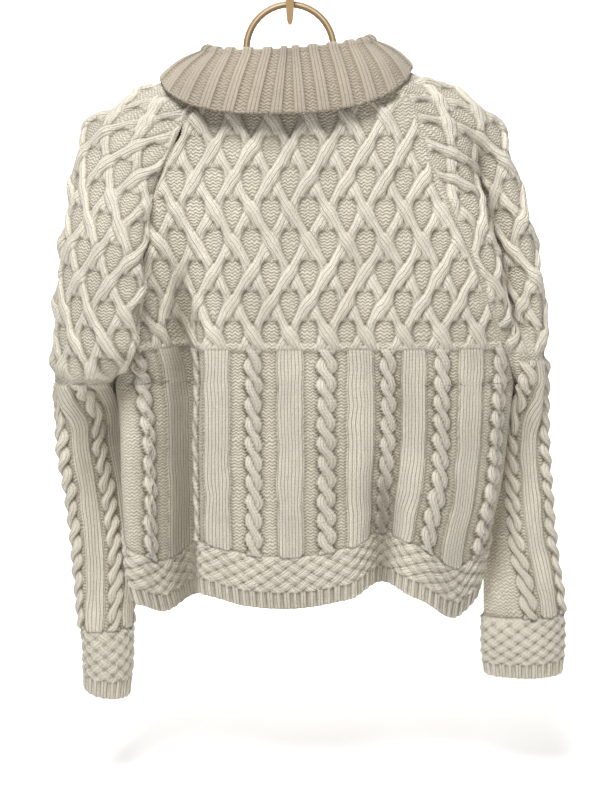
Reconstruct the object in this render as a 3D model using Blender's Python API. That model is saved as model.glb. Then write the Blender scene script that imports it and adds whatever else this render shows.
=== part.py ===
# Cable knit sweater hanging on a hanger, seen from its back.
#
# Lengths are in millimetres and are turned into metres where a mesh is made. +X is to the right of someone
# who looks at the sweater's back, -Y points from the back to that person and +Z is up. The origin is at the
# top of the hook, where whatever carries it would hold it, so that everything hangs below.
#
# Each knitted piece is one closed wall. Its outer side is a set of lines with a vertex wherever a strand,
# cable, band or rib begins, peaks or ends, and its inner side is a plainer set of lines on the same form,
# with a vertex only where the form bends. Neighbouring lines have different vertices, so each wall is a loft
# between unlike sections.
import math

import bmesh
import bpy
from mathutils import Vector

METRE = 0.001


def table(names, *rows):
    """Rows of values, each value under the name of its column."""
    return [dict(zip(names.split(), row)) for row in rows]


# Cloth
WALL = 3.2  # the plain wall, without its cables
HALF_GAP = 0.2  # each piece stops this far from a seam, so that two pieces stay 0.3 to 0.4 mm apart
UNDERARM_GAP = 0.5  # the same near the underarm, where the pieces fold back on each other
BOW_MOST = 1.15  # how far a straight stretch between two vertices may leave the form
SEAM_BOW = 0.12  # and how far along a seam
MITRE_MOST = 1.6  # longest mitre at a seam, in wall thicknesses
SLIT = {"z": -164.0, "half": 16.0, "wide": 3.6}  # the hole where the left raglan seam has come open
STRAND_HIGH = 4.0
CROSSING_HIGH = 5.0
ROPE_HIGH = 5.0
BAND_HIGH = 2.6
BASKET_HIGH = 1.8
RIB_HIGH = 2.0

# Trellis of the yoke and the upper sleeves
TRELLIS_WIDE = 40.8  # from one crossing to the next in a row
TRELLIS_TALL = 66.0  # from one row of crossings to the second below it, which lies straight under it
TRELLIS_Z = -240.5  # a row of crossings with one at the pattern's middle
STRAND_HALF = 7.0  # measured across the panel

# Cables and bands below the yoke
PANEL_REPEAT = 79.0  # from one ribbed band to the next, with a rope cable halfway
BAND_HALF = 12.5
BAND_EDGE = 2.5
ROPE_HALF = 9.5
ROPE_TURN = 21.0
COLUMN_STEP = 27.0

# Heights
RIDGE_Z = -390.0  # the line where the trellis ends
UNDERARM_Z = -432.0
HEM_BASKET = 58.0  # from the hem's edge up to the tips of the bands
HEM_RIB = 20.0
HEM_EDGE = 0.5  # the last row above the edge's own line
LOW = 0.3  # height of the basket weave and the ribs between their raised stitches
BASKET_REPEAT = 19.0
SIDE_ROUND = 2.4  # exponent of the body's rounded section
FOLD_EDGE = 26.0  # folds fade out this far from the side seams
HEM_MIDDLE_Z = -640.0  # about where the bands end

# Body sections: height, left and right ends, how far the back and the front lie from the middle plane
BODY = table(
    "z left right back front",
    (-90.0, -100.0, 125.0, 45.0, 43.0),
    (-104.0, -142.0, 160.0, 46.0, 44.0),
    (-118.0, -174.0, 190.0, 47.0, 45.0),
    (-131.0, -196.0, 213.0, 48.0, 46.0),
    (-146.0, -218.0, 228.0, 49.0, 46.5),
    (-170.0, -234.0, 242.0, 50.5, 47.0),
    (-220.0, -246.0, 257.0, 53.0, 49.0),
    (-300.0, -250.0, 270.0, 58.0, 53.0),
    (-390.0, -222.0, 258.0, 64.0, 57.0),
    (-432.0, -195.0, 250.0, 66.0, 59.0),
    (-525.0, -191.0, 241.0, 68.0, 61.0),
    (-630.0, -184.0, 221.0, 69.0, 62.0),
    (-700.0, -172.0, 208.0, 69.0, 62.0),
)

# Raglan seams: where they lie across the body at each height
RAGLAN = table(
    "z left right",
    (-92.0, -56.0, 84.0),
    (-104.0, -73.0, 103.0),
    (-118.0, -91.0, 120.0),
    (-131.0, -103.0, 131.0),
    (-176.0, -125.4, 145.0),
    (-216.0, -144.0, 161.0),
    (-255.0, -156.0, 180.0),
    (-300.0, -163.0, 200.0),
    (-345.0, -168.0, 217.0),
    (-390.0, -176.0, 234.0),
    (-432.0, -195.0, 250.0),
)

# Folds of the body: where across, where they begin and reach their full size, half their width, how far they
# go in (or out, if negative) and how far they lean to the right
FOLDS = {
    "back": table(
        "name at begins full half deep lean",
        ("left bulge", -188.0, -400.0, -520.0, 42.0, -30.0, 0.0),
        ("left recess", -126.0, -230.0, -430.0, 40.0, 34.0, 12.0),
        ("fold edge", -84.0, -330.0, -480.0, 28.0, -5.0, -7.0),
        ("right valley", 100.0, -450.0, -650.0, 36.0, 27.0, 2.0),
        ("middle hollow", 20.0, -520.0, -660.0, 60.0, 5.0, 0.0),
        ("right bulge", 160.0, -430.0, -600.0, 44.0, -6.0, 0.0),
        ("yoke sag", 70.0, -210.0, -300.0, 46.0, 4.0, 0.0),
    ),
    "front": table(
        "name at begins full half deep lean",
        ("left hollow", -96.0, -330.0, -600.0, 34.0, 22.0, 0.0),
        ("middle hollow", 34.0, -430.0, -640.0, 30.0, 18.0, 0.0),
        ("right hollow", 150.0, -360.0, -560.0, 36.0, 20.0, 0.0),
    ),
}

# The hem's edge: how far along the panel from its middle, and its height
HEM = {
    "back": table(
        "at z",
        (-260.0, -658.0),
        (-215.0, -676.0),
        (-180.0, -690.0),
        (-140.0, -672.0),
        (-98.0, -662.0),
        (-50.0, -674.0),
        (0.0, -678.0),
        (60.0, -669.0),
        (112.0, -654.0),
        (160.0, -668.0),
        (206.0, -694.0),
        (240.0, -680.0),
        (285.0, -650.0),
    ),
    "front": table(
        "at z",
        (-280.0, -652.0),
        (-200.0, -662.0),
        (-110.0, -655.0),
        (0.0, -664.0),
        (60.0, -656.0),
        (130.0, -664.0),
        (190.0, -656.0),
        (280.0, -646.0),
    ),
}

# Neck ring, where the collar is knitted on
NECK = {"x": 9.0, "wide": 93.0, "back": 46.0, "front": 44.0}
NECK_SIDE_Z = -87.0
NECK_TILT = 0.05
NECK_DROP = {"back": 24.0, "front": 62.0}
NECK_SEAM_ACROSS = {"left": -68.0, "right": 86.0}
NECK_BLEND = 12.0  # below the neck ring, where the pieces take on the body's own form

# Sleeves: the outer line (x, y, z) from the neck over the shoulder to the cuff, and the rings that hang from
# it. Each ring ends on the raglan seam at the height "seam", and below the underarm at the inner line (ix,
# iy, iz). "push" and "reach" bow a ring towards the back, from its inner and its outer end, "pushf" and
# "reachf" bow it towards the front, and "lean" moves the inner bow outwards.
SLEEVES = {
    "left": table(
        "x y z seam lean push reach pushf reachf",
        (-84.0, 0.0, -91.6, -100.0, 0.1, 2.0, 14.0, 2.0, 14.0),
        (-142.0, 0.0, -105.0, -124.0, 0.15, 6.0, 18.0, 6.0, 18.0),
        (-190.0, 0.0, -130.0, -156.0, 0.2, 12.0, 24.0, 10.0, 22.0),
        (-221.0, 0.0, -149.0, -188.0, 0.18, 22.0, 30.0, 12.0, 26.0),
        (-238.0, -3.0, -206.0, -232.0, -0.06, 44.0, 40.0, 12.0, 30.0),
        (-252.0, -8.0, -292.0, -306.0, -0.36, 60.0, 54.0, 12.0, 34.0),
        (-261.0, -10.0, -380.0, -382.0, -0.45, 62.0, 58.0, 18.0, 40.0),
    ),
    "right": table(
        "x y z seam lean push reach pushf reachf",
        (102.0, 0.0, -82.4, -93.0, 0.1, 2.0, 14.0, 2.0, 14.0),
        (150.0, 0.0, -101.0, -119.0, 0.15, 6.0, 18.0, 6.0, 18.0),
        (196.0, 0.0, -122.5, -150.0, 0.2, 10.0, 24.0, 10.0, 24.0),
        (227.0, 0.0, -146.0, -184.0, 0.24, 10.0, 26.0, 12.0, 26.0),
        (249.0, 2.0, -206.0, -230.0, 0.3, 6.0, 28.0, 16.0, 32.0),
        (272.0, 6.0, -292.0, -304.0, 0.4, 4.0, 32.0, 24.0, 40.0),
        (284.5, 8.0, -380.0, -382.0, 0.3, 10.0, 38.0, 34.0, 48.0),
    ),
}
ARMS = {
    "left": table(
        "x y z ix iy iz push reach pushf reachf",
        (-262.5, -8.0, -446.0, -195.6, 2.0, -433.0, 46.0, 50.0, 40.0, 46.0),
        (-260.5, -4.0, -500.0, -190.0, 38.0, -492.0, 16.0, 40.0, 40.0, 52.0),
        (-254.0, 4.0, -560.0, -184.0, 44.0, -558.0, 16.0, 36.0, 40.0, 52.0),
        (-247.5, 8.0, -632.0, -180.0, 36.0, -632.0, 20.0, 36.0, 42.0, 48.0),
        (-240.5, 4.0, -700.0, -184.0, 14.0, -700.0, 36.0, 40.0, 42.0, 46.0),
        (-235.5, 0.0, -745.0, -184.0, 2.0, -748.0, 42.0, 42.0, 42.0, 42.0),
        (-236.0, 0.0, -786.0, -188.0, 0.0, -797.0, 40.0, 40.0, 40.0, 40.0),
    ),
    "right": table(
        "x y z ix iy iz push reach pushf reachf",
        (286.5, 6.0, -446.0, 250.6, 2.0, -433.0, 30.0, 42.0, 44.0, 48.0),
        (289.0, 8.0, -505.0, 240.0, 34.0, -500.0, 14.0, 38.0, 44.0, 48.0),
        (295.0, 8.0, -565.0, 232.0, 38.0, -563.0, 14.0, 36.0, 42.0, 44.0),
        (301.5, 5.0, -632.0, 224.0, 28.0, -632.0, 18.0, 36.0, 38.0, 40.0),
        (309.0, 2.0, -685.0, 222.0, 8.0, -688.0, 30.0, 34.0, 34.0, 36.0),
        (312.0, 0.0, -732.0, 222.0, 0.0, -738.0, 32.0, 32.0, 32.0, 32.0),
        (310.5, 0.0, -770.0, 226.0, 0.0, -771.0, 32.0, 32.0, 32.0, 32.0),
    ),
}
SLEEVE_FOLDS = {
    "left": table(
        "name at begins full ends half deep",
        ("outer groove", -14.0, 170.0, 240.0, 460.0, 15.0, 6.0),
        ("elbow crease", 40.0, 300.0, 360.0, 520.0, 18.0, 6.0),
    ),
    "right": table(
        "name at begins full ends half deep",
        ("side recess", -46.0, 110.0, 230.0, 350.0, 26.0, 30.0),
        ("forearm crease", -16.0, 380.0, 440.0, 600.0, 14.0, 5.0),
    ),
}
FRONT_LEAN = 0.12  # "lean" of the rings on the front, above the underarm
CUFF_BASKET = 52.0
CUFF_RIB = 18.0

# Turned-down collar: rings at its fold and at the lower edge of its fall
FOLD = {"x": -1.5, "wide": 88.0, "back": 49.0, "front": 46.0}
FALL = {"x": -4.0, "wide": 137.5, "back": 73.0, "front": 80.0, "round": 2.6}
FOLD_Z = {"side": -60.0, "tilt": 0.06, "back": 12.0, "front": 16.0, "backPower": 1.1, "frontPower": 1.1}
FALL_Z = {"side": -92.5, "tilt": 0.042, "back": 50.0, "front": 82.0, "backPower": 1.1, "frontPower": 1.7}
COLLAR_RIBS = 24
COLLAR_ROUND = 6.5  # radius of the fold's outside
FALL_BOW = 4.0  # how far the fall's middle bows out

# Hanger, ring and hook
RING_MIDDLE_Z = -68.5
RING_RADIUS = 47.6
RING_THICK = 3.7
RING_FOOT = 24.0  # degrees below its middle at which the loop turns down into the arms
CREST_Z = -84.0  # top of the arms at their middle
ARM_THICK = 7.0
ARM_CLEAR = 3.55  # below the shoulders' form, whose straight stretches reach down to 0.3 mm above the arms
ARM_INSET = 14.0  # from the shoulder's end to the arm's
HOOK_THICK = 4.6
HOOK_BAR = table(
    "z half",
    (0.0, 5.6),
    (-14.0, 5.6),
    (-18.0, 4.4),
    (-30.0, 4.2),
    (-36.0, 3.4),
)
HOOK_TIP_Z = -43.5
PEG_THICK = 2.8
PEG_LONG = 15.0
PEG_BEND = 5.0  # radius of the turn at its end
PEG_RISE = 9.0


def mix(a, b, share):
    return a + (b - a) * share


def ease(value):
    value = min(1.0, max(0.0, value))
    return value * value * (3.0 - 2.0 * value)


def readTable(rows, key, value, column):
    """A smooth curve through one column of a table, read at a value of its key column."""
    keys = [row[key] for row in rows]
    values = [row[column] for row in rows]
    if keys[0] > keys[-1]:
        keys, values = keys[::-1], values[::-1]
    if value <= keys[0]:
        return values[0]
    if value >= keys[-1]:
        return values[-1]
    i = max(k for k in range(len(keys) - 1) if keys[k] <= value)

    def slope(k):
        if k == 0 or k == len(keys) - 1:
            j = min(k, len(keys) - 2)
            return (values[j + 1] - values[j]) / (keys[j + 1] - keys[j])
        before = (values[k] - values[k - 1]) / (keys[k] - keys[k - 1])
        after = (values[k + 1] - values[k]) / (keys[k + 1] - keys[k])
        if before * after <= 0.0:
            return 0.0
        return 2.0 * before * after / (before + after)

    step = keys[i + 1] - keys[i]
    t = (value - keys[i]) / step
    return (
        values[i] * (1 + 2 * t) * (1 - t) ** 2
        + slope(i) * step * t * (1 - t) ** 2
        + values[i + 1] * t * t * (3 - 2 * t)
        + slope(i + 1) * step * t * t * (t - 1)
    )


def bump(distance, half):
    """1 in the middle of a fold and 0 from its edge on."""
    if abs(distance) >= half:
        return 0.0
    return 0.5 + 0.5 * math.cos(math.pi * distance / half)


class Line:
    """A dense polyline, read at a distance along it that is counted from a point of its own."""

    def __init__(self, points, zero):
        self.points = points
        self.along = [0.0]
        for a, b in zip(points, points[1:]):
            self.along.append(self.along[-1] + (b - a).length)
        start = self.along[zero] if isinstance(zero, int) else zero(self)
        self.along = [d - start for d in self.along]
        self.first = self.along[0]
        self.last = self.along[-1]

    def at(self, distance):
        low, high = 0, len(self.along) - 1
        while high - low > 1:
            middle = (low + high) // 2
            if self.along[middle] <= distance:
                low = middle
            else:
                high = middle
        share = (distance - self.along[low]) / (self.along[high] - self.along[low])
        return self.points[low].lerp(self.points[high], share)


def crossingOfMiddle(line):
    """Where along a line of the body x is 0."""
    for a, b, d in zip(line.points, line.points[1:], line.along):
        if a.x <= 0.0 < b.x:
            return d + (b - a).length * (-a.x) / (b.x - a.x)
    return 0.0


def section(z, column):
    return readTable(BODY, "z", z, column)


def raglanAcross(side, z):
    if z <= UNDERARM_Z:
        return section(z, side)
    return readTable(RAGLAN, "z", z, side)


def sectionAngle(side, z):
    """The angle on the body's section at which its seam lies, 0 at the far left and pi at the far right."""
    if z <= UNDERARM_Z:
        return 0.0 if side == "left" else math.pi
    left, right = section(z, "left"), section(z, "right")
    share = (0.5 * (left + right) - raglanAcross(side, z)) / (0.5 * (right - left))
    share = max(-1.0, min(1.0, share))
    return math.acos(math.copysign(abs(share) ** (SIDE_ROUND / 2.0), share))


bodyLines = {}


def bodyLine(face, z):
    """The body's back or front at one height, from its left seam to its right one, folds and all."""
    key = (face, round(z, 3))
    if key in bodyLines:
        return bodyLines[key]
    left, right, depth = section(z, "left"), section(z, "right"), section(z, face)
    sign = -1.0 if face == "back" else 1.0
    start, end = sectionAngle("left", z), sectionAngle("right", z)
    plain = []
    steps = 150
    for i in range(steps + 1):
        angle = mix(start, end, i / steps)
        c, s = math.cos(angle), math.sin(angle)
        x = 0.5 * (left + right) - 0.5 * (right - left) * math.copysign(abs(c) ** (2.0 / SIDE_ROUND), c)
        plain.append(Vector((x, sign * depth * abs(s) ** (2.0 / SIDE_ROUND), z)))
    flat = Line(plain, crossingOfMiddle)
    folded = []
    for point, along in zip(flat.points, flat.along):
        # folds fade out at the side seams, where the back and the front meet
        beside = ease(min(along - flat.first, flat.last - along) / FOLD_EDGE)
        seam = mix(1.0, beside, ease((-360.0 - z) / 50.0))
        moved = point.copy()
        for fold in FOLDS[face]:
            grown = ease((fold["begins"] - z) / (fold["begins"] - fold["full"])) * seam
            if grown > 0.0:
                size = grown * bump(along - fold["at"], fold["half"])
                moved.y -= sign * fold["deep"] * size
                moved.x += fold["lean"] * size
        folded.append(moved)
    bodyLines[key] = Line(folded, crossingOfMiddle)
    return bodyLines[key]


def bodyPoint(face, along, z):
    line = bodyLine(face, z)
    return line.at(min(line.last, max(line.first, along)))


def bodyNormal(face, along, z):
    """Outward normal of the body's back or front."""
    line = bodyLine(face, z)
    along = min(line.last - 1.5, max(line.first + 1.5, along))
    tangent = line.at(along + 1.5) - line.at(along - 1.5)
    slope = bodyPoint(face, along, z + 4.0) - bodyPoint(face, along, z - 4.0)
    slope.x = 0.0
    normal = tangent.cross(slope) if face == "back" else slope.cross(tangent)
    return normal.normalized()


def ringPoint(ring, angle, z):
    """A point of an oval ring. The angle is 0 at the left, 90 degrees at the back and 270 at the front."""
    c, s = math.cos(angle), math.sin(angle)
    depth = ring["back"] if s >= 0.0 else ring["front"]
    power = 2.0 / ring.get("round", 2.0)
    across = math.copysign(abs(c) ** power, c)
    return Vector((ring["x"] - ring["wide"] * across, -depth * math.copysign(abs(s) ** power, s), z))


def neckZ(angle):
    drop = NECK_DROP["back" if math.sin(angle) >= 0.0 else "front"]
    across = -NECK["wide"] * math.cos(angle)
    return NECK_SIDE_Z + NECK_TILT * across - drop * abs(math.sin(angle)) ** 1.6


def neckPoint(angle):
    return ringPoint(NECK, angle, neckZ(angle))


def neckNormal(angle):
    depth = NECK["back"] if math.sin(angle) >= 0.0 else NECK["front"]
    return Vector((-math.cos(angle) / NECK["wide"], -math.sin(angle) / depth, 0.0)).normalized()


def neckSeamAngle(side, face):
    """Where a raglan seam meets the neck ring."""
    angle = math.acos((NECK["x"] - NECK_SEAM_ACROSS[side]) / NECK["wide"])
    return angle if face == "back" else 2.0 * math.pi - angle


def seamZ(side, face, height):
    """A height on the back's raglan seam, carried over to the front's, which begins lower on the neck."""
    back = neckPoint(neckSeamAngle(side, "back")).z
    own = neckPoint(neckSeamAngle(side, face)).z
    share = max(0.0, (height - back) / (UNDERARM_Z - back))
    return mix(own, UNDERARM_Z, share)


def seamPoint(side, face, z):
    """A point of a raglan seam, or of the side seam below the underarm."""
    top = neckPoint(neckSeamAngle(side, face))
    line = bodyLine(face, min(z, top.z - NECK_BLEND))
    point = (line.points[0] if side == "left" else line.points[-1]).copy()
    if z > top.z - NECK_BLEND:
        point = top.lerp(point, ease((top.z - z) / NECK_BLEND))
    point.z = z
    return point


def sleeveStations(side):
    """The sleeve's table with the length of its outer line up to each row."""
    rows = []
    length = 0.0
    last = None
    for row in SLEEVES[side] + ARMS[side]:
        out = Vector((row["x"], row["y"], row["z"]))
        if last is not None:
            length += (out - last).length
        last = out
        full = {"seam": UNDERARM_Z, "lean": 0.0}
        full.update(ix=raglanAcross(side, UNDERARM_Z), iy=0.0, iz=UNDERARM_Z)
        full.update(row)
        full["length"] = length
        rows.append(full)
    return rows


STATIONS = {side: sleeveStations(side) for side in ("left", "right")}
UNDERARM_AT = {side: STATIONS[side][len(SLEEVES[side])]["length"] for side in STATIONS}
CUFF_AT = {side: STATIONS[side][-1]["length"] for side in STATIONS}


def bezier(a, b, c, d, t):
    s = 1.0 - t
    return a * s**3 + b * 3 * s * s * t + c * 3 * s * t * t + d * t**3


sleeveLines = {}


def sleeveLine(side, length):
    """One ring of a sleeve, from its back seam round its outer line to its front seam. Distances are from the
    outer line, and are negative on the back."""
    key = (side, round(length, 3))
    if key in sleeveLines:
        return sleeveLines[key]
    rows = STATIONS[side]

    def read(column):
        return readTable(rows, "length", length, column)

    out = Vector((read("x"), read("y"), read("z")))
    below = length >= UNDERARM_AT[side]
    inner = Vector((read("ix"), read("iy"), read("iz")))
    steps = 30
    points = []
    for face, sign in (("back", -1.0), ("front", 1.0)):
        end = inner if below else seamPoint(side, face, seamZ(side, face, read("seam")))
        suffix = "" if face == "back" else "f"
        away = Vector((0.0, sign, 0.0))
        lean = read("lean") if face == "back" or below else FRONT_LEAN
        bow = end + (out - end) * lean + away * read("push" + suffix)
        turn = out + away * read("reach" + suffix)
        half = [bezier(end, bow, turn, out, i / steps) for i in range(steps + 1)]
        points += half if face == "back" else half[::-1][1:]
    plain = Line(points, steps)
    folded = []
    for i, (point, along) in enumerate(zip(plain.points, plain.along)):
        before, after = plain.points[max(0, i - 1)], plain.points[min(len(points) - 1, i + 1)]
        inward = (after - before).cross(Vector((0.0, 0.0, 1.0))).normalized()
        inward *= 1.0 if side == "left" else -1.0
        size = 0.0
        for fold in SLEEVE_FOLDS[side]:
            grown = ease((length - fold["begins"]) / (fold["full"] - fold["begins"]))
            grown *= ease((fold["ends"] + 60.0 - length) / 60.0)
            size += fold["deep"] * grown * bump(along - fold["at"], fold["half"])
        size *= ease(min(along - plain.first, plain.last - along) / 20.0)
        folded.append(point + inward * size)
    sleeveLines[key] = Line(folded, steps)
    return sleeveLines[key]


def sleevePoint(side, along, length):
    line = sleeveLine(side, length)
    return line.at(min(line.last, max(line.first, along)))


def sleeveNormal(side, along, length):
    line = sleeveLine(side, length)
    along = min(line.last - 1.5, max(line.first + 1.5, along))
    tangent = line.at(along + 1.5) - line.at(along - 1.5)
    step = 3.0
    low, high = max(0.0, length - step), min(CUFF_AT[side], length + step)
    down = sleevePoint(side, along, high) - sleevePoint(side, along, low)
    normal = tangent.cross(down) if side == "left" else down.cross(tangent)
    return normal.normalized()


def seamLength(side, face, z):
    """How far down the sleeve its rings meet a raglan seam at height z."""
    back = neckPoint(neckSeamAngle(side, "back")).z
    own = neckPoint(neckSeamAngle(side, face)).z
    height = mix(back, UNDERARM_Z, (own - z) / (own - UNDERARM_Z))
    return readTable(STATIONS[side][: len(SLEEVES[side]) + 1], "seam", height, "length")


def seamNormals(side, face, z):
    """Outward normals of the panel and of the sleeve beside a seam."""
    z = min(z, neckPoint(neckSeamAngle(side, face)).z - 14.0)
    line = bodyLine(face, z)
    panel = bodyNormal(face, line.first if side == "left" else line.last, z)
    if z <= UNDERARM_Z:
        return panel, panel
    length = seamLength(side, face, z)
    ring = sleeveLine(side, length)
    return panel, sleeveNormal(side, ring.first if face == "back" else ring.last, length)


seamFrames = {}


def seamFrame(side, face, z):
    """A seam at one height: its point, the way from the inside to the outside of each piece in wall
    thicknesses, mitred where the two meet at an angle, and how far each draws back."""
    key = (side, face, round(z, 3))
    if key in seamFrames:
        return seamFrames[key]
    point = seamPoint(side, face, z)
    top = neckPoint(neckSeamAngle(side, face)).z
    down = (seamPoint(side, face, z - 1.0) - seamPoint(side, face, min(top, z + 1.0))).normalized()
    panel, sleeve = seamNormals(side, face, z)
    line = bodyLine(face, min(z, top - 14.0))
    along = line.at(line.first + 2.0) - line.points[0]
    if side == "right":
        along = line.at(line.last - 2.0) - line.points[-1]

    def acrossSeam(normal, into):
        way = normal.cross(down).normalized()
        return way if way.dot(into) > 0.0 else -way

    panelIn = acrossSeam(panel, along)
    if z <= UNDERARM_Z:
        seamFrames[key] = {"point": point, "panelOut": panel, "panelIn": panelIn * HALF_GAP}
        return seamFrames[key]
    ring = sleeveLine(side, seamLength(side, face, z))
    into = ring.at(ring.first + 2.0) - ring.points[0]
    if face == "front":
        into = ring.at(ring.last - 2.0) - ring.points[-1]
    sleeveIn = acrossSeam(sleeve, into)
    out = panel + sleeve
    if out.dot(panelIn + sleeveIn) > 0.0:
        out += panelIn + sleeveIn
    out.normalize()
    size = min(MITRE_MOST, 1.0 / max(0.1, 0.5 * (panel + sleeve).dot(out)))
    apart = out.cross(down).normalized()
    # near the underarm the pieces fold back on each other, and the back and the front part too
    near = ease((UNDERARM_Z + 26.0 - z) / 22.0)
    gap = mix(HALF_GAP, UNDERARM_GAP, near)
    frame = {"point": point}
    for name, inward, normal in (("panel", panelIn, panel), ("sleeve", sleeveIn, sleeve)):
        frame[name + "Out"] = (out * size).lerp(normal, near)
        frame[name + "In"] = (apart if apart.dot(inward - normal) > 0.0 else -apart) * gap
    way = -1.0 if face == "back" else 1.0
    frame["panelIn"] += Vector((0.0, way, 0.0)) * gap * ease((UNDERARM_Z + 8.0 - z) / 8.0)
    seamFrames[key] = frame
    return frame


def panelEdge(face, end, high):
    """The edge of a panel along its left (0) or right (-1) seam, as a function of the height."""
    side = "left" if end == 0 else "right"

    def curve(z):
        frame = seamFrame(side, face, z)
        opened = panelEnds(face, z)[end] - under(bodyLine(face, z))[end]
        inward = frame["panelIn"] * (1.0 + abs(opened) / HALF_GAP)
        return frame["point"] + inward + frame["panelOut"] * high

    return curve


def sleeveEdge(side, face, high):
    """The edge of a sleeve along its back or front raglan seam, as a function of the height."""

    def curve(z):
        frame = seamFrame(side, face, max(z, UNDERARM_Z + 0.05))
        return frame["point"] + frame["sleeveIn"] + frame["sleeveOut"] * high

    return curve


def alongSeam(wall, edge, curve):
    """An edge along a seam, with further vertices wherever the seam bends. The edge is a list of (height on
    the seam, entry), with no height where the piece has left the seam."""
    result = [edge[0][1]]
    for (top, one), (bottom, two) in zip(edge, edge[1:]):
        if bottom is not None and top - bottom > 1.0:
            levels = [(top, 0.0), (bottom, 0.0)]
            if top > UNDERARM_Z + 1.0 and bottom < UNDERARM_Z - 1.0:
                levels.insert(1, (UNDERARM_Z, 0.0))
            levels = fill(levels, [curve], SEAM_BOW, 3.0)[1:-1]
            if levels:
                result += [(0.0, 0.0, v) for v in wall.split(one[2], two[2], [curve(z) for z, _ in levels])]
        result.append(two)
    return result


def seamRise(side, face, z):
    """How steeply the sleeve rises from the panel beside a seam: 0 where it runs on flat or falls away."""
    length = seamLength(side, face, max(z, UNDERARM_Z))
    ring = sleeveLine(side, length)
    if face == "back":
        way = ring.at(ring.first + 8.0) - ring.at(ring.first)
    else:
        way = ring.at(ring.last - 8.0) - ring.at(ring.last)
    return ease(way.normalized().dot(seamNormals(side, face, z)[0]) / 0.6)


def lowBeside(distance, rise):
    """Strands flatten out towards a seam that lies in a corner."""
    return mix(1.0, ease((distance - 4.0) / 12.0), rise)


def fill(entries, forms, most=BOW_MOST, least=8.0):
    """Adds a vertex in the middle of each stretch that would leave any of the forms by too much. An entry is
    (place, height), and a form gives the point at a place."""
    result = entries[:1]
    for before, after in zip(entries, entries[1:]):
        worst = 0.0
        for form in forms:
            start, chord = form(before[0]), form(after[0]) - form(before[0])
            if chord.length > least:
                for share in (0.25, 0.5, 0.75):
                    way = form(mix(before[0], after[0], share)) - start
                    worst = max(worst, way.cross(chord).length / chord.length)
        if worst > most:
            middle = (0.5 * (before[0] + after[0]), 0.5 * (before[1] + after[1]))
            result += fill([before, middle, after], forms, most, least)[1:]
        else:
            result.append(after)
    return result


# Patterns. Each gives the places across a line where the wall needs a vertex, with its height there.


def trellisPlaces(first, last, along, zero, margin):
    """Strands of the trellis on a line at a given distance down the piece."""
    turns = (along - zero) / TRELLIS_TALL
    places = []
    for k in range(math.floor(first / TRELLIS_WIDE) - 3, math.ceil(last / TRELLIS_WIDE) + 4):
        for lean in (1.0, -1.0):
            places.append(((k + lean * turns) * TRELLIS_WIDE, STRAND_HIGH))
    places.sort()
    merged = []
    for at, high in places:
        if merged and abs(merged[-1][0] - at) < 1.0:
            merged[-1] = (at, CROSSING_HIGH)
        else:
            merged.append((at, high))
    result = []
    for at, high in merged:
        for offset, level in ((-STRAND_HALF, 0.0), (0.0, high), (STRAND_HALF, 0.0)):
            spot = at + offset
            if not first + margin < spot < last - margin:
                continue
            if result and spot - result[-1][0] < 2.5:
                if level > result[-1][1]:
                    result[-1] = (spot, level)
                continue
            result.append((spot, level))
    return result


def panelColumns(first, last):
    """Columns of the bands and rope cables that fit between two distances across a panel."""
    columns = []
    for k in range(math.floor(first / PANEL_REPEAT) - 1, math.ceil(last / PANEL_REPEAT) + 2):
        band = k * PANEL_REPEAT
        edge = BAND_HALF + BAND_EDGE
        crest = BAND_HALF - BAND_EDGE
        if first < band - edge and band + edge < last:
            for offset, high in ((-edge, 0.0), (-crest, BAND_HIGH), (crest, BAND_HIGH), (edge, 0.0)):
                columns.append({"at": band + offset, "high": high, "kind": "band", "side": "none"})
        rope = band + 0.5 * PANEL_REPEAT
        if first < rope - ROPE_HALF and rope + ROPE_HALF < last:
            kinds = ("base", "ropeLeft", "ropeMiddle", "ropeRight", "base")
            for step, kind in enumerate(kinds):
                high = 0.0 if kind == "base" else ROPE_HIGH
                at = rope + (0.5 * step - 1.0) * ROPE_HALF
                columns.append({"at": at, "high": high, "kind": kind, "side": "none"})
    return columns


def columnPlace(column, inmost, endsAt, station):
    """Where a column lies: a fixed distance across, or a share of what is left between pattern and seam."""
    if column["side"] == "none":
        return column["at"]
    k = 0 if column["side"] == "first" else 1
    return mix(inmost[k], endsAt(station)[k], column["at"])


def allColumns(first, last, endsAt, pointAt, stations):
    """The pattern's columns, with plain ones between them and out to the seams wherever the form needs them.
    endsAt gives the two ends of a line at a station, and pointAt the form's point."""
    pattern = panelColumns(first, last)
    inmost = pattern[0]["at"], pattern[-1]["at"]

    def across(station):
        return lambda place: pointAt(place, station)

    columns = [pattern[0]]
    for column in pattern[1:]:
        before = columns[-1]
        if column["at"] > before["at"] + 0.01:
            ends = [(before["at"], before["high"]), (column["at"], column["high"])]
            stretch = fill(ends, [across(s) for s in stations])
            for at, high in stretch[1:-1]:
                columns.append({"at": at, "high": high, "kind": "plain", "side": "none"})
            columns.append(column)

    def outwards(side, station):
        k = 0 if side == "first" else 1
        return lambda share: pointAt(mix(inmost[k], endsAt(station)[k], share), station)

    sides = {}
    for side in ("first", "last"):
        shares = fill([(0.0, 0.0), (0.5, 0.0), (1.0, 0.0)], [outwards(side, s) for s in stations])
        sides[side] = [{"at": share, "high": 0.0, "kind": "plain", "side": side} for share, _ in shares[1:]]
    return sides["first"][::-1] + columns + sides["last"], inmost


def ropeHeight(kind, step):
    """A rope is high where a strand crosses over and low in the crease between two, leaning to the right."""
    over = step % 2 == 0
    if kind == "ropeMiddle":
        return ROPE_HIGH
    if kind == "ropeLeft":
        return ROPE_HIGH if over else 0.45 * ROPE_HIGH
    return 0.45 * ROPE_HIGH if over else ROPE_HIGH


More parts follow.
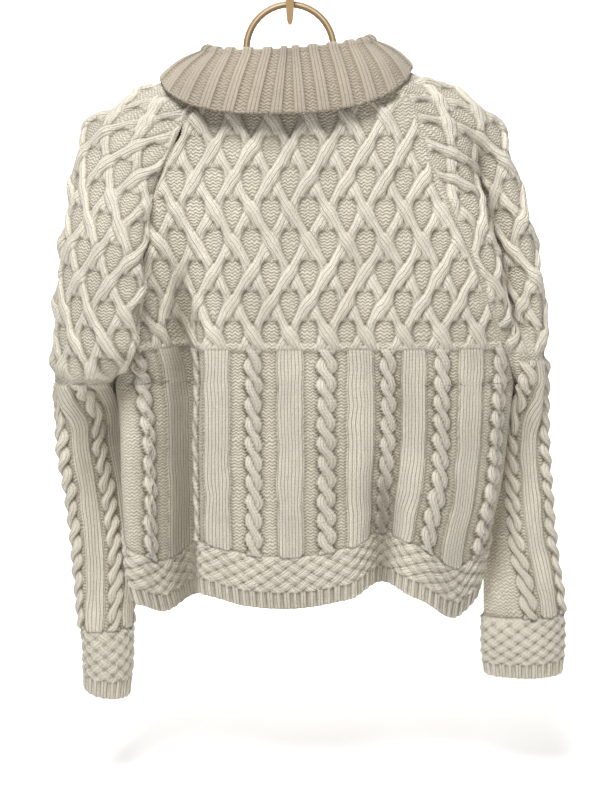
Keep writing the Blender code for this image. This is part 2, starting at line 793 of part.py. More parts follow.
class Wall:
    """Gathers the vertices and faces of one closed wall."""

    def __init__(self):
        self.points = []
        self.faces = []

    def line(self, entries):
        """Adds a line of vertices. Each entry is (place along the line, height, point)."""
        ids = []
        for place, high, point in entries:
            ids.append((place, high, len(self.points)))
            self.points.append(point)
        return ids

    def zip(self, one, two):
        """Triangles between two lines with different vertices. An edge that runs along a strand costs less,
        so that strands stay whole, and otherwise the shorter edge is taken."""
        n, m = len(one), len(two)
        ends = (one[0][0], one[-1][0]), (two[0][0], two[-1][0])

        def spot(entry, end):
            # places count from the line's own ends, so that two lines of unlike length still match
            share = (entry[0] - end[0]) / ((end[1] - end[0]) or 1.0)
            slack = mix(ends[0][0] - end[0], ends[0][1] - end[1], share)
            return entry[0] + slack * edgeWeight(share)

        a = [(spot(e, ends[0]), e[1]) for e in one]
        b = [(spot(e, ends[1]), e[1]) for e in two]

        def cost(i, j):
            raised = 12.0 * a[i][1] * b[j][1]
            return (a[i][0] - b[j][0]) ** 2 - raised

        best = [[0.0] * m for _ in range(n)]
        came = [[None] * m for _ in range(n)]
        for i in range(n):
            for j in range(m):
                options = []
                if i:
                    options.append((best[i - 1][j], 0))
                if j:
                    options.append((best[i][j - 1], 1))
                before = min(options) if options else (0.0, None)
                best[i][j] = before[0] + cost(i, j)
                came[i][j] = before[1]
        i, j = n - 1, m - 1
        while i or j:
            if came[i][j] == 0:
                self.faces.append((one[i - 1][2], one[i][2], two[j][2]))
                i -= 1
            else:
                self.faces.append((one[i][2], two[j - 1][2], two[j][2]))
                j -= 1

    def grid(self, rows):
        """Plain quads between lines that have the same number of vertices."""
        for a, b in zip(rows, rows[1:]):
            for i in range(len(a) - 1):
                self.faces.append((a[i][2], a[i + 1][2], b[i + 1][2], b[i][2]))

    def split(self, a, b, points):
        """Puts further vertices on the outer edge between two vertices, and returns them."""
        old = next(f for f in self.faces if a in f and b in f)
        far = next(v for v in old if v not in (a, b))
        self.faces.remove(old)
        added = list(range(len(self.points), len(self.points) + len(points)))
        self.points += points
        chain = [a] + added + [b]
        self.faces += [(one, two, far) for one, two in zip(chain, chain[1:])]
        return added

    def rim(self, outer, inner):
        """Closes the wall along an edge, between its outer and its inner line."""
        def even(line):
            total = [0.0]
            for one, two in zip(line, line[1:]):
                total.append(total[-1] + (self.points[two[2]] - self.points[one[2]]).length)
            return [(100.0 * d / total[-1], 0.0, e[2]) for d, e in zip(total, line)]

        self.zip(even(outer), even(inner))

    def build(self, name, material):
        form = bmesh.new()
        made = [form.verts.new(p * METRE) for p in self.points]
        for face in self.faces:
            form.faces.new([made[i] for i in face])
        bmesh.ops.triangulate(form, faces=[f for f in form.faces if len(f.verts) > 3])
        bmesh.ops.recalc_face_normals(form, faces=form.faces[:])
        if form.calc_volume(signed=True) < 0.0:
            bmesh.ops.reverse_faces(form, faces=form.faces[:])
        mesh = bpy.data.meshes.new(name)
        form.to_mesh(mesh)
        form.free()
        piece = bpy.data.objects.new(name, mesh)
        return finish(piece, material)


def edgeWeight(share):
    """Only the parts of two lines near their ends are matched by their ends."""
    return max(0.0, abs(2.0 * share - 1.0) * 4.0 - 3.0)


def finish(piece, material):
    if piece.name not in parts.objects:
        parts.objects.link(piece)
    piece.data.materials.clear()
    piece.data.materials.append(material)
    if piece.type == "MESH":
        piece.data.shade_smooth()
        piece.data.set_sharp_from_angle(angle=math.radians(50.0))
    return piece


def makeMaterial(name, colour, roughness):
    material = bpy.data.materials.new(name)
    material.use_nodes = True
    shader = material.node_tree.nodes["Principled BSDF"]
    shader.inputs["Base Color"].default_value = (*colour, 1.0)
    shader.inputs["Roughness"].default_value = roughness
    shader.inputs["Metallic"].default_value = 0.0
    material.diffuse_color = (*colour, 1.0)
    return material


def hemZ(face, along):
    return readTable(HEM[face], "at", along, "z")


def under(line):
    """The two ends of a line, drawn in from the seams."""
    return line.first + HALF_GAP, line.last - HALF_GAP


def panelEnds(face, z):
    """The two ends of the back or the front at one height. The back draws back further at the slit."""
    first, last = under(bodyLine(face, z))
    if face == "back":
        first += SLIT["wide"] * bump(z - SLIT["z"], SLIT["half"])
    return first, last


def neckAngles(start, end, inside):
    """Angles of the neck ring between two seams. They are the collar's own, so that the two edges match."""
    angles = [a + turn for turn in (-2.0 * math.pi, 0.0, 2.0 * math.pi) for a in COLLAR_ANGLES[inside]]
    low, high = min(start, end), max(start, end)
    between = sorted((a for a in angles if low + 0.03 < a < high - 0.03), reverse=start > end)
    return [start] + between + [end]


def neckEntries(start, end, inside):
    """The top edge of a piece, on the neck ring."""
    entries = []
    angles = neckAngles(start, end, inside)
    step = math.copysign(0.01, end - start)
    for i, angle in enumerate(angles):
        point = neckPoint(angle) - neckNormal(angle) * (WALL if inside else 0.0)
        if i in (0, len(angles) - 1):
            way = (neckPoint(angle + step) - neckPoint(angle)).normalized()
            point += way * (HALF_GAP if i == 0 else -HALF_GAP)
        point.z -= HALF_GAP
        entries.append((100.0 * abs(angle - start) / abs(end - start), 0.0, point))
    return entries


def makePanel(face):
    """The back or the front: neck edge, trellis, bands and cables, basket-weave hem and its rib edge."""
    wall = Wall()
    low = neckPoint(math.pi / 2 if face == "back" else 1.5 * math.pi).z
    seams = neckSeamAngle("left", face), neckSeamAngle("right", face)

    def form(along, z):
        return bodyPoint(face, along, z)

    def outer(along, z, high):
        first, last = panelEnds(face, z)
        if along - first < 0.5 or last - along < 0.5:
            return panelEdge(face, 0 if along - first < 0.5 else -1, high)(z)
        return form(along, z) + bodyNormal(face, along, z) * high

    def neckLine(inside):
        entries = neckEntries(*seams, inside)
        return wall.line([(mix(*topEnds, share / 100.0), high, p) for share, high, p in entries])

    # the trellis, in level rows a quarter of its repeat apart
    quarter = TRELLIS_TALL / 4.0
    rowZ = []
    z = TRELLIS_Z + quarter * 8.0
    while z > RIDGE_Z + 8.0:
        if z < low - NECK_BLEND:
            rowZ.append(z)
        z -= quarter
    topEnds = panelEnds(face, rowZ[0])
    rows = [neckLine(False)]
    for z in rowZ:
        first, last = panelEnds(face, z)
        faded = ease((low - 14.0 - z) / 16.0)
        rises = seamRise("left", face, z), seamRise("right", face, z)
        places = [(first, 0.0)]
        for along, high in trellisPlaces(first, last, z, TRELLIS_Z, 4.5):
            beside = lowBeside(along - first, rises[0]) * lowBeside(last - along, rises[1])
            places.append((along, high * faded * beside))
        places.append((last, 0.0))
        places = fill(places, [lambda place: form(place, z)])
        rows.append(wall.line([(along, high, outer(along, z, high)) for along, high in places]))

    # bands and rope cables, in upright columns from the ridge to the hem
    stations = [mix(RIDGE_Z, HEM_MIDDLE_Z, k / 6) for k in range(7)]
    ends = [under(bodyLine(face, z)) for z in stations]
    columns, inmost = allColumns(
        max(e[0] for e in ends) + 6.0,
        min(e[1] for e in ends) - 6.0,
        lambda z: under(bodyLine(face, z)),
        form,
        stations,
    )

    def placeAt(column, z):
        return columnPlace(column, inmost, lambda station: under(bodyLine(face, station)), z)

    def columnZ(column, share):
        place = placeAt(column, RIDGE_Z)
        for _ in range(3):
            bottom = hemZ(face, place) + HEM_BASKET
            place = placeAt(column, mix(RIDGE_Z, bottom, share))
        return mix(RIDGE_Z, hemZ(face, place) + HEM_BASKET, share)

    lines = []
    for column in columns:
        rope = column["kind"].startswith("rope")
        bottom = columnZ(column, 1.0)
        count = round((RIDGE_Z - bottom) / (0.5 * ROPE_TURN if rope else COLUMN_STEP))
        shares = [step / count for step in range(count + 1)]
        if column["side"] != "none" and column["at"] == 1.0:
            # the edge has a vertex at the underarm
            corner = (RIDGE_Z - UNDERARM_Z) / (RIDGE_Z - bottom)
            shares = [0.0, corner] + [s for s in shares if s > corner + 0.04]
        entries = []
        for step, share in enumerate(shares):
            z = columnZ(column, share)
            high = ropeHeight(column["kind"], step) if rope else column["high"]
            high *= 1.0 if 0 < step < len(shares) - 1 else 0.8
            place = placeAt(column, z)
            entries.append((-z, high, outer(place, z, high)))
        lines.append(wall.line(entries))
    for one, two in zip(lines, lines[1:]):
        wall.zip(one, two)

    top = [(placeAt(c, RIDGE_Z), line[0][1], line[0][2]) for c, line in zip(columns, lines)]
    bottomLine = [(placeAt(c, columnZ(c, 1.0)), line[-1][1], line[-1][2]) for c, line in zip(columns, lines)]
    for one, two in zip(rows, rows[1:] + [top]):
        wall.zip(one, two)

    # basket weave and the rib edge, in rows that follow the hem
    levels = [HEM_BASKET - 10.0, HEM_BASKET - 20.0, HEM_RIB + 9.0, HEM_RIB, HEM_RIB - 2.0, HEM_EDGE]
    hemRows = []
    step = 0.5 * BASKET_REPEAT
    for level, over in enumerate(levels):
        first, last = rowEnds(face, lambda place: hemZ(face, place) + over)
        count = round((last - first) / step)
        entries = []
        for i in range(count + 1):
            along = mix(first, last, i / count)
            z = hemZ(face, along) + over
            if level < 4:
                high = BASKET_HIGH if (i + level) % 2 else LOW
            else:
                high = RIB_HIGH if i % 2 else LOW
            if i in (0, count):
                high = 0.0
            entries.append((along, high, outer(along, z, high)))
        hemRows.append(wall.line(entries))
    for one, two in zip([bottomLine] + hemRows, hemRows):
        wall.zip(one, two)

    # the plain inner side
    inner = [neckLine(True)]
    heights = [lambda place, z=mix(rowZ[0], RIDGE_Z, k / 6): z for k in range(7)]
    heights += [lambda place, s=k / 8: mix(RIDGE_Z, hemZ(face, place) + HEM_EDGE, s) for k in range(1, 9)]
    innerZ = [], []
    for k, height in enumerate(heights):
        first, last = rowEnds(face, height) if k > 6 else panelEnds(face, height(0.0))
        places = [(mix(first, last, i / 8), 0.0) for i in range(9)]
        places = fill(places, [lambda place: form(place, height(place))])
        innerZ[0].append(height(first))
        innerZ[1].append(height(last))
        inner.append(wall.line([(along, 0.0, outer(along, height(along), -WALL)) for along, _ in places]))
    for one, two in zip(inner, inner[1:]):
        wall.zip(one, two)

    # rims: neck edge, hem, and the two sides
    wall.rim(rows[0], inner[0])
    wall.rim(hemRows[-1], inner[-1])
    for end in (0, -1):
        neck = neckPoint(seams[end]).z
        outline = [(neck, rows[0][end])] + [(z, row[end]) for z, row in zip(rowZ, rows[1:])]
        outline += [(-entry[0], entry) for entry in lines[end]]
        outline += [(wall.points[row[end][2]].z, row[end]) for row in hemRows]
        inside = [(neck, inner[0][end])] + [(z, row[end]) for z, row in zip(innerZ[end], inner[1:])]
        wall.rim(
            alongSeam(wall, outline, panelEdge(face, end, 0.0)),
            alongSeam(wall, inside, panelEdge(face, end, -WALL)),
        )
    return wall.build(face, wool)


def rowEnds(face, height):
    """The two ends of a row whose height changes across the panel."""
    first, last = under(bodyLine(face, HEM_MIDDLE_Z))
    for _ in range(3):
        first = under(bodyLine(face, height(first)))[0]
        last = under(bodyLine(face, height(last)))[1]
    return first, last


def makeSleeve(side):
    """A sleeve: trellis over the shoulder and upper arm, bands and cables below, basket-weave cuff."""
    wall = Wall()
    cuff = CUFF_AT[side] - HALF_GAP
    armpit = UNDERARM_AT[side]
    quarter = TRELLIS_TALL / 4.0
    seams = neckSeamAngle(side, "back"), neckSeamAngle(side, "front")
    if side == "left":
        seams = seams[0], seams[1] - 2.0 * math.pi

    def form(along, length):
        return sleevePoint(side, along, length)

    def seamAt(face, length):
        return seamZ(side, face, readTable(STATIONS[side], "length", length, "seam"))

    def outer(along, length, high):
        first, last = ends(length)
        for face, gap in (("back", along - first), ("front", last - along)):
            if gap < 0.5 and length < armpit - 0.01:
                return sleeveEdge(side, face, high)(seamAt(face, length))
        return form(along, length) + sleeveNormal(side, along, length) * high

    def ends(length):
        return under(sleeveLine(side, length))

    def neckLine(inside):
        entries = neckEntries(*seams, inside)
        first, last = ends(start)
        return wall.line([(mix(first, last, share / 100.0), high, p) for share, high, p in entries])

    start = 1.2 * quarter
    rowAt = []
    rows = [neckLine(False)]
    length = start
    ridgeAt = armpit - 18.0
    while length < ridgeAt - 6.0:
        first, last = ends(length)
        rises = [seamRise(side, face, seamAt(face, length)) for face in ("back", "front")]
        places = [(first, 0.0)]
        for along, high in trellisPlaces(first, last, length, start, 4.5):
            beside = lowBeside(along - first, rises[0]) * lowBeside(last - along, rises[1])
            places.append((along, high * beside * clearOfCollar(form(along, length))))
        places.append((last, 0.0))
        places = fill(places, [lambda place: form(place, length)])
        rows.append(wall.line([(along, high, outer(along, length, high)) for along, high in places]))
        rowAt.append(length)
        length += quarter

    basketTop = cuff - CUFF_BASKET - CUFF_RIB
    stations = [mix(ridgeAt, basketTop, k / 8.0) for k in range(9)]
    columns, inmost = allColumns(
        max(ends(q)[0] for q in stations) + 4.0,
        min(ends(q)[1] for q in stations) - 4.0,
        ends,
        form,
        stations,
    )

    def placeAt(column, q):
        return columnPlace(column, inmost, ends, q)

    lines = []
    for column in columns:
        rope = column["kind"].startswith("rope")
        count = round((basketTop - ridgeAt) / (0.5 * ROPE_TURN if rope else COLUMN_STEP))
        lengths = [mix(ridgeAt, basketTop, step / count) for step in range(count + 1)]
        if column["side"] != "none" and column["at"] == 1.0:
            lengths = [ridgeAt, armpit] + [q for q in lengths if q > armpit + 9.0]
        entries = []
        for step, q in enumerate(lengths):
            high = ropeHeight(column["kind"], step) if rope else column["high"]
            high *= 1.0 if 0 < step < len(lengths) - 1 else 0.8
            entries.append((q, high, outer(placeAt(column, q), q, high)))
        lines.append(wall.line(entries))
    for one, two in zip(lines, lines[1:]):
        wall.zip(one, two)
    top = [(placeAt(c, ridgeAt), line[0][1], line[0][2]) for c, line in zip(columns, lines)]
    bottom = [(placeAt(c, basketTop), line[-1][1], line[-1][2]) for c, line in zip(columns, lines)]
    for one, two in zip(rows, rows[1:] + [top]):
        wall.zip(one, two)

    cuffRows = []
    levels = [9.0, 20.0, 32.0, 43.0, CUFF_BASKET, CUFF_BASKET + 2.0, CUFF_BASKET + CUFF_RIB]
    for level, over in enumerate(levels):
        q = basketTop + over
        first, last = ends(q)
        count = round((last - first) / (0.5 * BASKET_REPEAT))
        entries = []
        for i in range(count + 1):
            if level < 5:
                high = BASKET_HIGH if (i + level) % 2 else LOW
            else:
                high = RIB_HIGH if i % 2 else LOW
            if i in (0, count):
                high = 0.0
            along = mix(first, last, i / count)
            entries.append((along, high, outer(along, q, high)))
        cuffRows.append(wall.line(entries))
    for one, two in zip([bottom] + cuffRows, cuffRows):
        wall.zip(one, two)

    # the plain inner side
    inner = [neckLine(True)]
    lengths = [mix(start, armpit, k / 11) for k in range(12)]
    lengths += [mix(armpit, cuff, k / 8) for k in range(1, 9)]
    for q in lengths:
        first, last = ends(q)
        places = fill([(mix(first, last, i / 4), 0.0) for i in range(5)], [lambda place: form(place, q)])
        inner.append(wall.line([(along, 0.0, outer(along, q, -WALL)) for along, _ in places]))
    for one, two in zip(inner, inner[1:]):
        wall.zip(one, two)

    # rims: neck edge, cuff, and the two sides
    wall.rim(rows[0], inner[0])
    wall.rim(cuffRows[-1], inner[-1])
    for end in (0, -1):
        face = "back" if end == 0 else "front"
        neck = neckPoint(seams[end]).z

        def height(q):
            return seamAt(face, q) if q <= armpit + 0.01 else None

        outline = [(neck, rows[0][end])] + [(height(q), row[end]) for q, row in zip(rowAt, rows[1:])]
        outline += [(height(entry[0]), entry) for entry in lines[end]]
        outline += [(None, row[end]) for row in cuffRows]
        inside = [(neck, inner[0][end])] + [(height(q), row[end]) for q, row in zip(lengths, inner[1:])]
        wall.rim(
            alongSeam(wall, outline, sleeveEdge(side, face, 0.0)),
            alongSeam(wall, inside, sleeveEdge(side, face, -WALL)),
        )
    return wall.build(f"sleeve_{side}", wool)


def dropZ(heights, ring, angle):
    """Height of a collar ring, which hangs lower at the back and the front than at the shoulders."""
    face = "back" if math.sin(angle) >= 0.0 else "front"
    drop = heights[face] * abs(math.sin(angle)) ** heights[face + "Power"]
    return heights["side"] - heights["tilt"] * ring["wide"] * math.cos(angle) - drop


def evenAngles(ring, count):
    """Angles that lie evenly round an oval ring."""
    fine = 720
    points = [ringPoint(ring, 2.0 * math.pi * i / fine, 0.0) for i in range(fine + 1)]
    total = [0.0]
    for a, b in zip(points, points[1:]):
        total.append(total[-1] + (b - a).length)
    angles = []
    i = 0
    for k in range(count):
        goal = total[-1] * k / count
        while total[i + 1] < goal:
            i += 1
        angles.append(2.0 * math.pi * (i + (goal - total[i]) / (total[i + 1] - total[i])) / fine)
    return angles


def collarPath(angle, inside, high):
    """The collar's section at one angle, as points from the neck seam up the stand, over the fold and down
    the fall. The plain side is the stand's outside and the fall's inside, hidden between them."""
    neck = neckPoint(angle)
    fold = ringPoint(FOLD, angle, dropZ(FOLD_Z, FOLD, angle))
    fall = ringPoint(FALL, angle, dropZ(FALL_Z, FALL, angle))
    out = neckNormal(angle)
    up = Vector((0.0, 0.0, 1.0))
    middle = fold - up * COLLAR_ROUND
    points = []
    standOffset = 0.0 if inside else -(WALL + 0.6 * high)
    for share in (0.0, 0.55, 1.0):
        goal = middle - out * (COLLAR_ROUND - WALL)
        point = neck.lerp(goal, share) + out * standOffset
        if share == 0.0:
            point.z = neck.z + HALF_GAP
        points.append(point)
    radius = COLLAR_ROUND - WALL if inside else COLLAR_ROUND + high
    for degrees in (135.0, 90.0, 45.0):
        turn = math.radians(degrees)
        points.append(middle + out * math.cos(turn) * radius + up * math.sin(turn) * radius)
    slope = (fall - middle).normalized()
    side = Vector((out.x, out.y, 0.0))
    face = (side - slope * side.dot(slope)).normalized()
    start = middle + out * COLLAR_ROUND
    for share in (0.08, 0.36, 0.68, 1.0):
        point = start.lerp(fall, share) + face * FALL_BOW * math.sin(math.pi * share)
        points.append(point + face * (high if not inside else -WALL))
    return points


# The collar's upright lines. Its ribbed side is the inside at the neck, where the stand is, and its plain
# side the outside.
COLLAR_ANGLES = {True: evenAngles(FALL, 2 * COLLAR_RIBS), False: evenAngles(FALL, COLLAR_RIBS + 8)}


def clearOfCollar(point):
    """0 for what lies under the collar's fall and 1 for what lies clear of it."""
    depth = FALL["back"] if point.y < 0.0 else FALL["front"]
    reach = abs((point.x - FALL["x"]) / FALL["wide"]) ** FALL["round"] + abs(point.y / depth) ** FALL["round"]
    return ease((reach - 1.1) / 0.35)


def makeCollar():
    wall = Wall()
    outer = [collarPath(a, False, RIB_HIGH if i % 2 else 0.0) for i, a in enumerate(COLLAR_ANGLES[True])]
    inner = [collarPath(a, True, 0.0) for a in COLLAR_ANGLES[False]]
    loops = []
    for paths in (outer, inner):
        rows = []
        for j in range(len(paths[0])):
            row = wall.line([(100.0 * i / len(paths), 0.0, path[j]) for i, path in enumerate(paths)])
            rows.append(row + [(100.0, 0.0, row[0][2])])
        wall.grid(rows)
        loops.append(rows)
    for end in (0, -1):
        wall.zip(loops[0][end], loops[1][end])
    return wall.build("collar", collarWool)


def shoulderZ(side, x):
    """Height of the shoulder's outer line."""
    return readTable(SLEEVES[side][:4], "x", x, "z")


def makeTube(name, points, radius, material, resolution):
    curve = bpy.data.curves.new(name, "CURVE")
    curve.dimensions = "3D"
    curve.bevel_depth = radius * METRE
    curve.bevel_resolution = resolution
    curve.use_fill_caps = True
    spline = curve.splines.new("POLY")
    spline.points.add(len(points) - 1)
    for spot, point in zip(spline.points, points):
        spot.co = (*(Vector(point) * METRE), 1.0)
    piece = bpy.data.objects.new(name, curve)
    return finish(piece, material)


def hangerPoints():
    """The middle line of the arms. Their top lies just under the shoulders."""
    clear = WALL + ARM_CLEAR + ARM_THICK
    points = []
    for side, sign in (("left", 1.0), ("right", -1.0)):
        end = SLEEVES[side][3]["x"] + sign * ARM_INSET
        start = SLEEVES[side][1]["x"]
        half = []
        for i in range(6):
            x = mix(end, start, i / 5)
            half.append((x, 0.0, shoulderZ(side, x) - clear))
        points += half if side == "left" else half[::-1]
    points.insert(6, (0.0, 0.0, CREST_Z - ARM_THICK))
    return points


def makeHanger():
    """Two plain arms in one bar."""
    return makeTube("hanger", hangerPoints(), ARM_THICK, tan, 2)


def makeRing():
    """The loop above the arms: an arc that turns down on both sides and ends on the bar."""
    line = hangerPoints()
    foot = math.radians(RING_FOOT)
    x = RING_RADIUS * math.cos(foot)
    points = []
    for i in range(27):
        turn = mix(-foot, math.pi + foot, i / 26)
        points.append((RING_RADIUS * math.cos(turn), 0.0, RING_MIDDLE_Z + RING_RADIUS * math.sin(turn)))
    for sign in (1.0, -1.0):
        below = [p for p in zip(line, line[1:]) if p[0][0] <= sign * x <= p[1][0]][0]
        share = (sign * x - below[0][0]) / (below[1][0] - below[0][0])
        top = mix(below[0][2], below[1][2], share) + ARM_THICK
        slope = abs(below[1][2] - below[0][2]) / (below[1][0] - below[0][0])
        leg = (sign * x, 0.0, top + 0.4 + slope * RING_THICK)
        if sign > 0.0:
            points.insert(0, leg)
        else:
            points.append(leg)
    return makeTube("hanger_ring", points, RING_THICK, tan, 2)


def makeHook():
    """A flat bar in front of the ring with a rounded tip, and the peg behind it that carries the ring."""
    curve = bpy.data.curves.new("hook", "CURVE")
    curve.dimensions = "2D"
    curve.fill_mode = "BOTH"
    curve.extrude = 0.5 * HOOK_THICK * METRE
    outline = [(row["half"], row["z"]) for row in HOOK_BAR]
    tip = HOOK_BAR[-1]
    for i in range(1, 6):
        turn = 0.5 * math.pi * i / 6
        outline.append((tip["half"] * math.cos(turn), mix(tip["z"], HOOK_TIP_Z, math.sin(turn))))
    outline.append((0.0, HOOK_TIP_Z))
    outline += [(-x, z) for x, z in outline[-2::-1]]
    spline = curve.splines.new("POLY")
    spline.use_cyclic_u = True
    spline.points.add(len(outline) - 1)
    for spot, (x, z) in zip(spline.points, outline):
        spot.co = (x * METRE, z * METRE, 0.0, 1.0)
    hook = bpy.data.objects.new("hook", curve)
    hook.rotation_euler = (math.pi / 2, 0.0, 0.0)
    front = -(RING_THICK + 0.3 + 0.5 * HOOK_THICK)
    hook.location = (0.0, front * METRE, 0.0)
    finish(hook, tan)
    seat = RING_MIDDLE_Z + RING_RADIUS - RING_THICK - 0.3 - PEG_THICK
    start = -RING_THICK
    points = [(0.0, start, seat), (0.0, start + PEG_LONG - PEG_BEND, seat)]
    for i in range(1, 4):
        turn = 0.5 * math.pi * i / 3
        y = start + PEG_LONG - PEG_BEND * (1.0 - math.sin(turn))
        points.append((0.0, y, seat + PEG_BEND * (1.0 - math.cos(turn))))
    points.append((0.0, start + PEG_LONG, seat + PEG_RISE))
    return makeTube("hook_peg", points, PEG_THICK, tan, 2)


for old in list(bpy.data.objects):
    bpy.data.objects.remove(old, do_unlink=True)
parts = bpy.data.collections.new("cable_knit_sweater")
bpy.context.scene.collection.children.link(parts)
wool = makeMaterial("cream_wool", (0.62, 0.57, 0.47), 0.9)
collarWool = makeMaterial("collar_wool", (0.52, 0.46, 0.37), 0.9)
tan = makeMaterial("tan_plastic", (0.42, 0.30, 0.19), 0.45)

makePanel("back")
makePanel("front")
makeSleeve("left")
makeSleeve("right")
makeCollar()
makeHanger()
makeRing()
makeHook()
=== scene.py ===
import math

import bpy
import numpy as np
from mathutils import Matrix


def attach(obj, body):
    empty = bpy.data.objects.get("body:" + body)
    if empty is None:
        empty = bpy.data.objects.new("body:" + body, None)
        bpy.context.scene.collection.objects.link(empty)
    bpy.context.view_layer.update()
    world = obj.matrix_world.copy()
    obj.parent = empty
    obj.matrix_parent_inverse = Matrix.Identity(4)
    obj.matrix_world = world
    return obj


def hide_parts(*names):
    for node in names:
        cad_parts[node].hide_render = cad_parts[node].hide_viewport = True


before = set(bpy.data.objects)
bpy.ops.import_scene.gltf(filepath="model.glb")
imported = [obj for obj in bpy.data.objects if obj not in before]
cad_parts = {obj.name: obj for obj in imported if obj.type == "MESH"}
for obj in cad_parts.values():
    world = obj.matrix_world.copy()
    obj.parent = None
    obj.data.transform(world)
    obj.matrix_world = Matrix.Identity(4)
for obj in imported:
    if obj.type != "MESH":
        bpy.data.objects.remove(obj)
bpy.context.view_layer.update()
print("frame loaded")


def table(names, *rows):
    # an array for each named column
    return {name: np.array(column, dtype=float) for name, column in zip(names.split(), zip(*rows))}


def listed(names, *rows):
    # a dictionary for each row
    return [dict(zip(names.split(), row)) for row in rows]


def mix(a, b, share):
    return a + (b - a) * share


def ease(value):
    value = np.clip(value, 0.0, 1.0)
    return value * value * (3.0 - 2.0 * value)


def wrap(value):
    return value - np.round(value)


def unit(vectors):
    return vectors / np.maximum(np.linalg.norm(vectors, axis=-1, keepdims=True), 1e-9)


def hump(distance, half):
    # 1 in the middle of a fold and 0 from its edge on
    return np.where(np.abs(distance) < half, 0.5 + 0.5 * np.cos(np.pi * distance / half), 0.0)


def curve(rows, key, column):
    # a smooth curve through one column of a table
    keys, values = rows[key], rows[column]
    if keys[0] > keys[-1]:
        keys, values = keys[::-1], values[::-1]
    steps = np.diff(keys)
    rises = np.diff(values) / steps
    turning = rises[1:] * rises[:-1] > 0.0
    slopes = np.zeros(len(keys))
    slopes[0], slopes[-1] = rises[0], rises[-1]
    both = np.where(turning, rises[1:] + rises[:-1], 1.0)
    slopes[1:-1] = np.where(turning, 2.0 * rises[1:] * rises[:-1] / both, 0.0)

    def read(value):
        value = np.clip(value, keys[0], keys[-1])
        i = np.clip(np.searchsorted(keys, value, side="right") - 1, 0, len(keys) - 2)
        t = (value - keys[i]) / steps[i]
        return (
            values[i] * (1 + 2 * t) * (1 - t) ** 2
            + slopes[i] * steps[i] * t * (1 - t) ** 2
            + values[i + 1] * t * t * (3 - 2 * t)
            + slopes[i + 1] * steps[i] * t * t * (t - 1)
        )

    return read


# Yarn and pattern, shared by all knitted pieces
knit = {
    "wall": 3.2,
    "wale": 4.1,  # width of a stitch
    "row": 3.6,  # height of a stitch
    "purlWale": 6.0,
    "bandWale": 3.6,
    "ropeWale": 3.4,
    "trellisWide": 40.8,  # from one crossing to the next in a row
    "trellisTall": 66.0,  # from one row of crossings to the second below it
    "trellisZ": -243.0,  # a row of crossings with one at the pattern's middle
    "strandBend": 0.12,  # how much flatter the strands lie at a crossing, steeper between two
    "strandHalf": 7.7,
    "strandHigh": 5.1,
    "over": 1.35,  # upper strand at a crossing, as a share of strandHigh
    "under": 0.1,  # lower strand
    "web": 0.2,  # knit between two strands
    # half the width of a purl cell at each height over its middle: flat above, pointed below
    "cell": table(
        "z half", (-22, 0.5), (-17, 3.8), (-11, 7), (-5, 9.4), (0, 10.6), (5, 10.6), (9, 9.6), (13, 7)
    ),
    "bandHigh": 3.2,
    "bandEdge": 2.5,  # from a band's half width to its foot
    "ropeHalf": 9.5,
    "ropeHigh": 6.6,
    "ropeTurn": 21.0,
    "ropeSwing": 4.4,  # how far each strand of a rope swings to its sides
    "tipLong": 9.0,  # length of the round ends of bands and ropes
    "weltHigh": 3.4,
    "weltHalf": 7.0,
    "basketWide": 19.0,
    "basketTall": 13.0,
    "basketHigh": 3.9,
    "ribFoot": 1.3,
    "ribHigh": 1.9,
    "edgeRound": 1.6,
    "trellisFade": 16.0,  # over which the trellis begins and ends
    "overlap": 4.0,  # how far the columns run into the basket weave
    "seamReach": 0.16,  # share of a row that follows a raglan seam near the neck
    "inset": 6,  # lines of the outer grid for each one of the plain inner grid
}

# Bands with a rope cable halfway between two: from one band to the next, half a band's width, where a band's
# middle is, how far a column may reach past the narrowest row, and where the columns start, from the end of
# the trellis
panelColumns = {"repeat": 79.0, "half": 12.5, "from": 0.0, "past": 8.0, "start": 2.0}
sleeveColumns = {"repeat": 46.0, "half": 9.0, "past": 10.0, "start": 4.0}
# the back's bands, counted from the middle one, are pushed together on the right
bandsPushed = table(
    "at whole", (-316, -4), (-237, -3), (-158, -2), (-79, -1), (0, 0), (79, 1), (133, 2), (198, 3), (270, 4)
)
columnLooks = {
    "back": panelColumns | {"pushed": bandsPushed},
    "front": panelColumns,
    "left": sleeveColumns | {"from": -34.0},
    "right": sleeveColumns | {"from": -27.0},
}

# How uneven the knitting is: how much, over how many grid lines and the seed of the draw
drifts = {
    "panel": {
        "along": (1.2, 12, 3),
        "pattern": (1.6, 11, 4),
        "relief": (0.12, 9, 5),
        "cloth": (1.8, 38, 6),
    },
    "sleeve": {
        "along": (1.4, 11, 13),
        "pattern": (1.8, 11, 14),
        "relief": (0.12, 9, 15),
        "cloth": (1.5, 34, 16),
    },
}

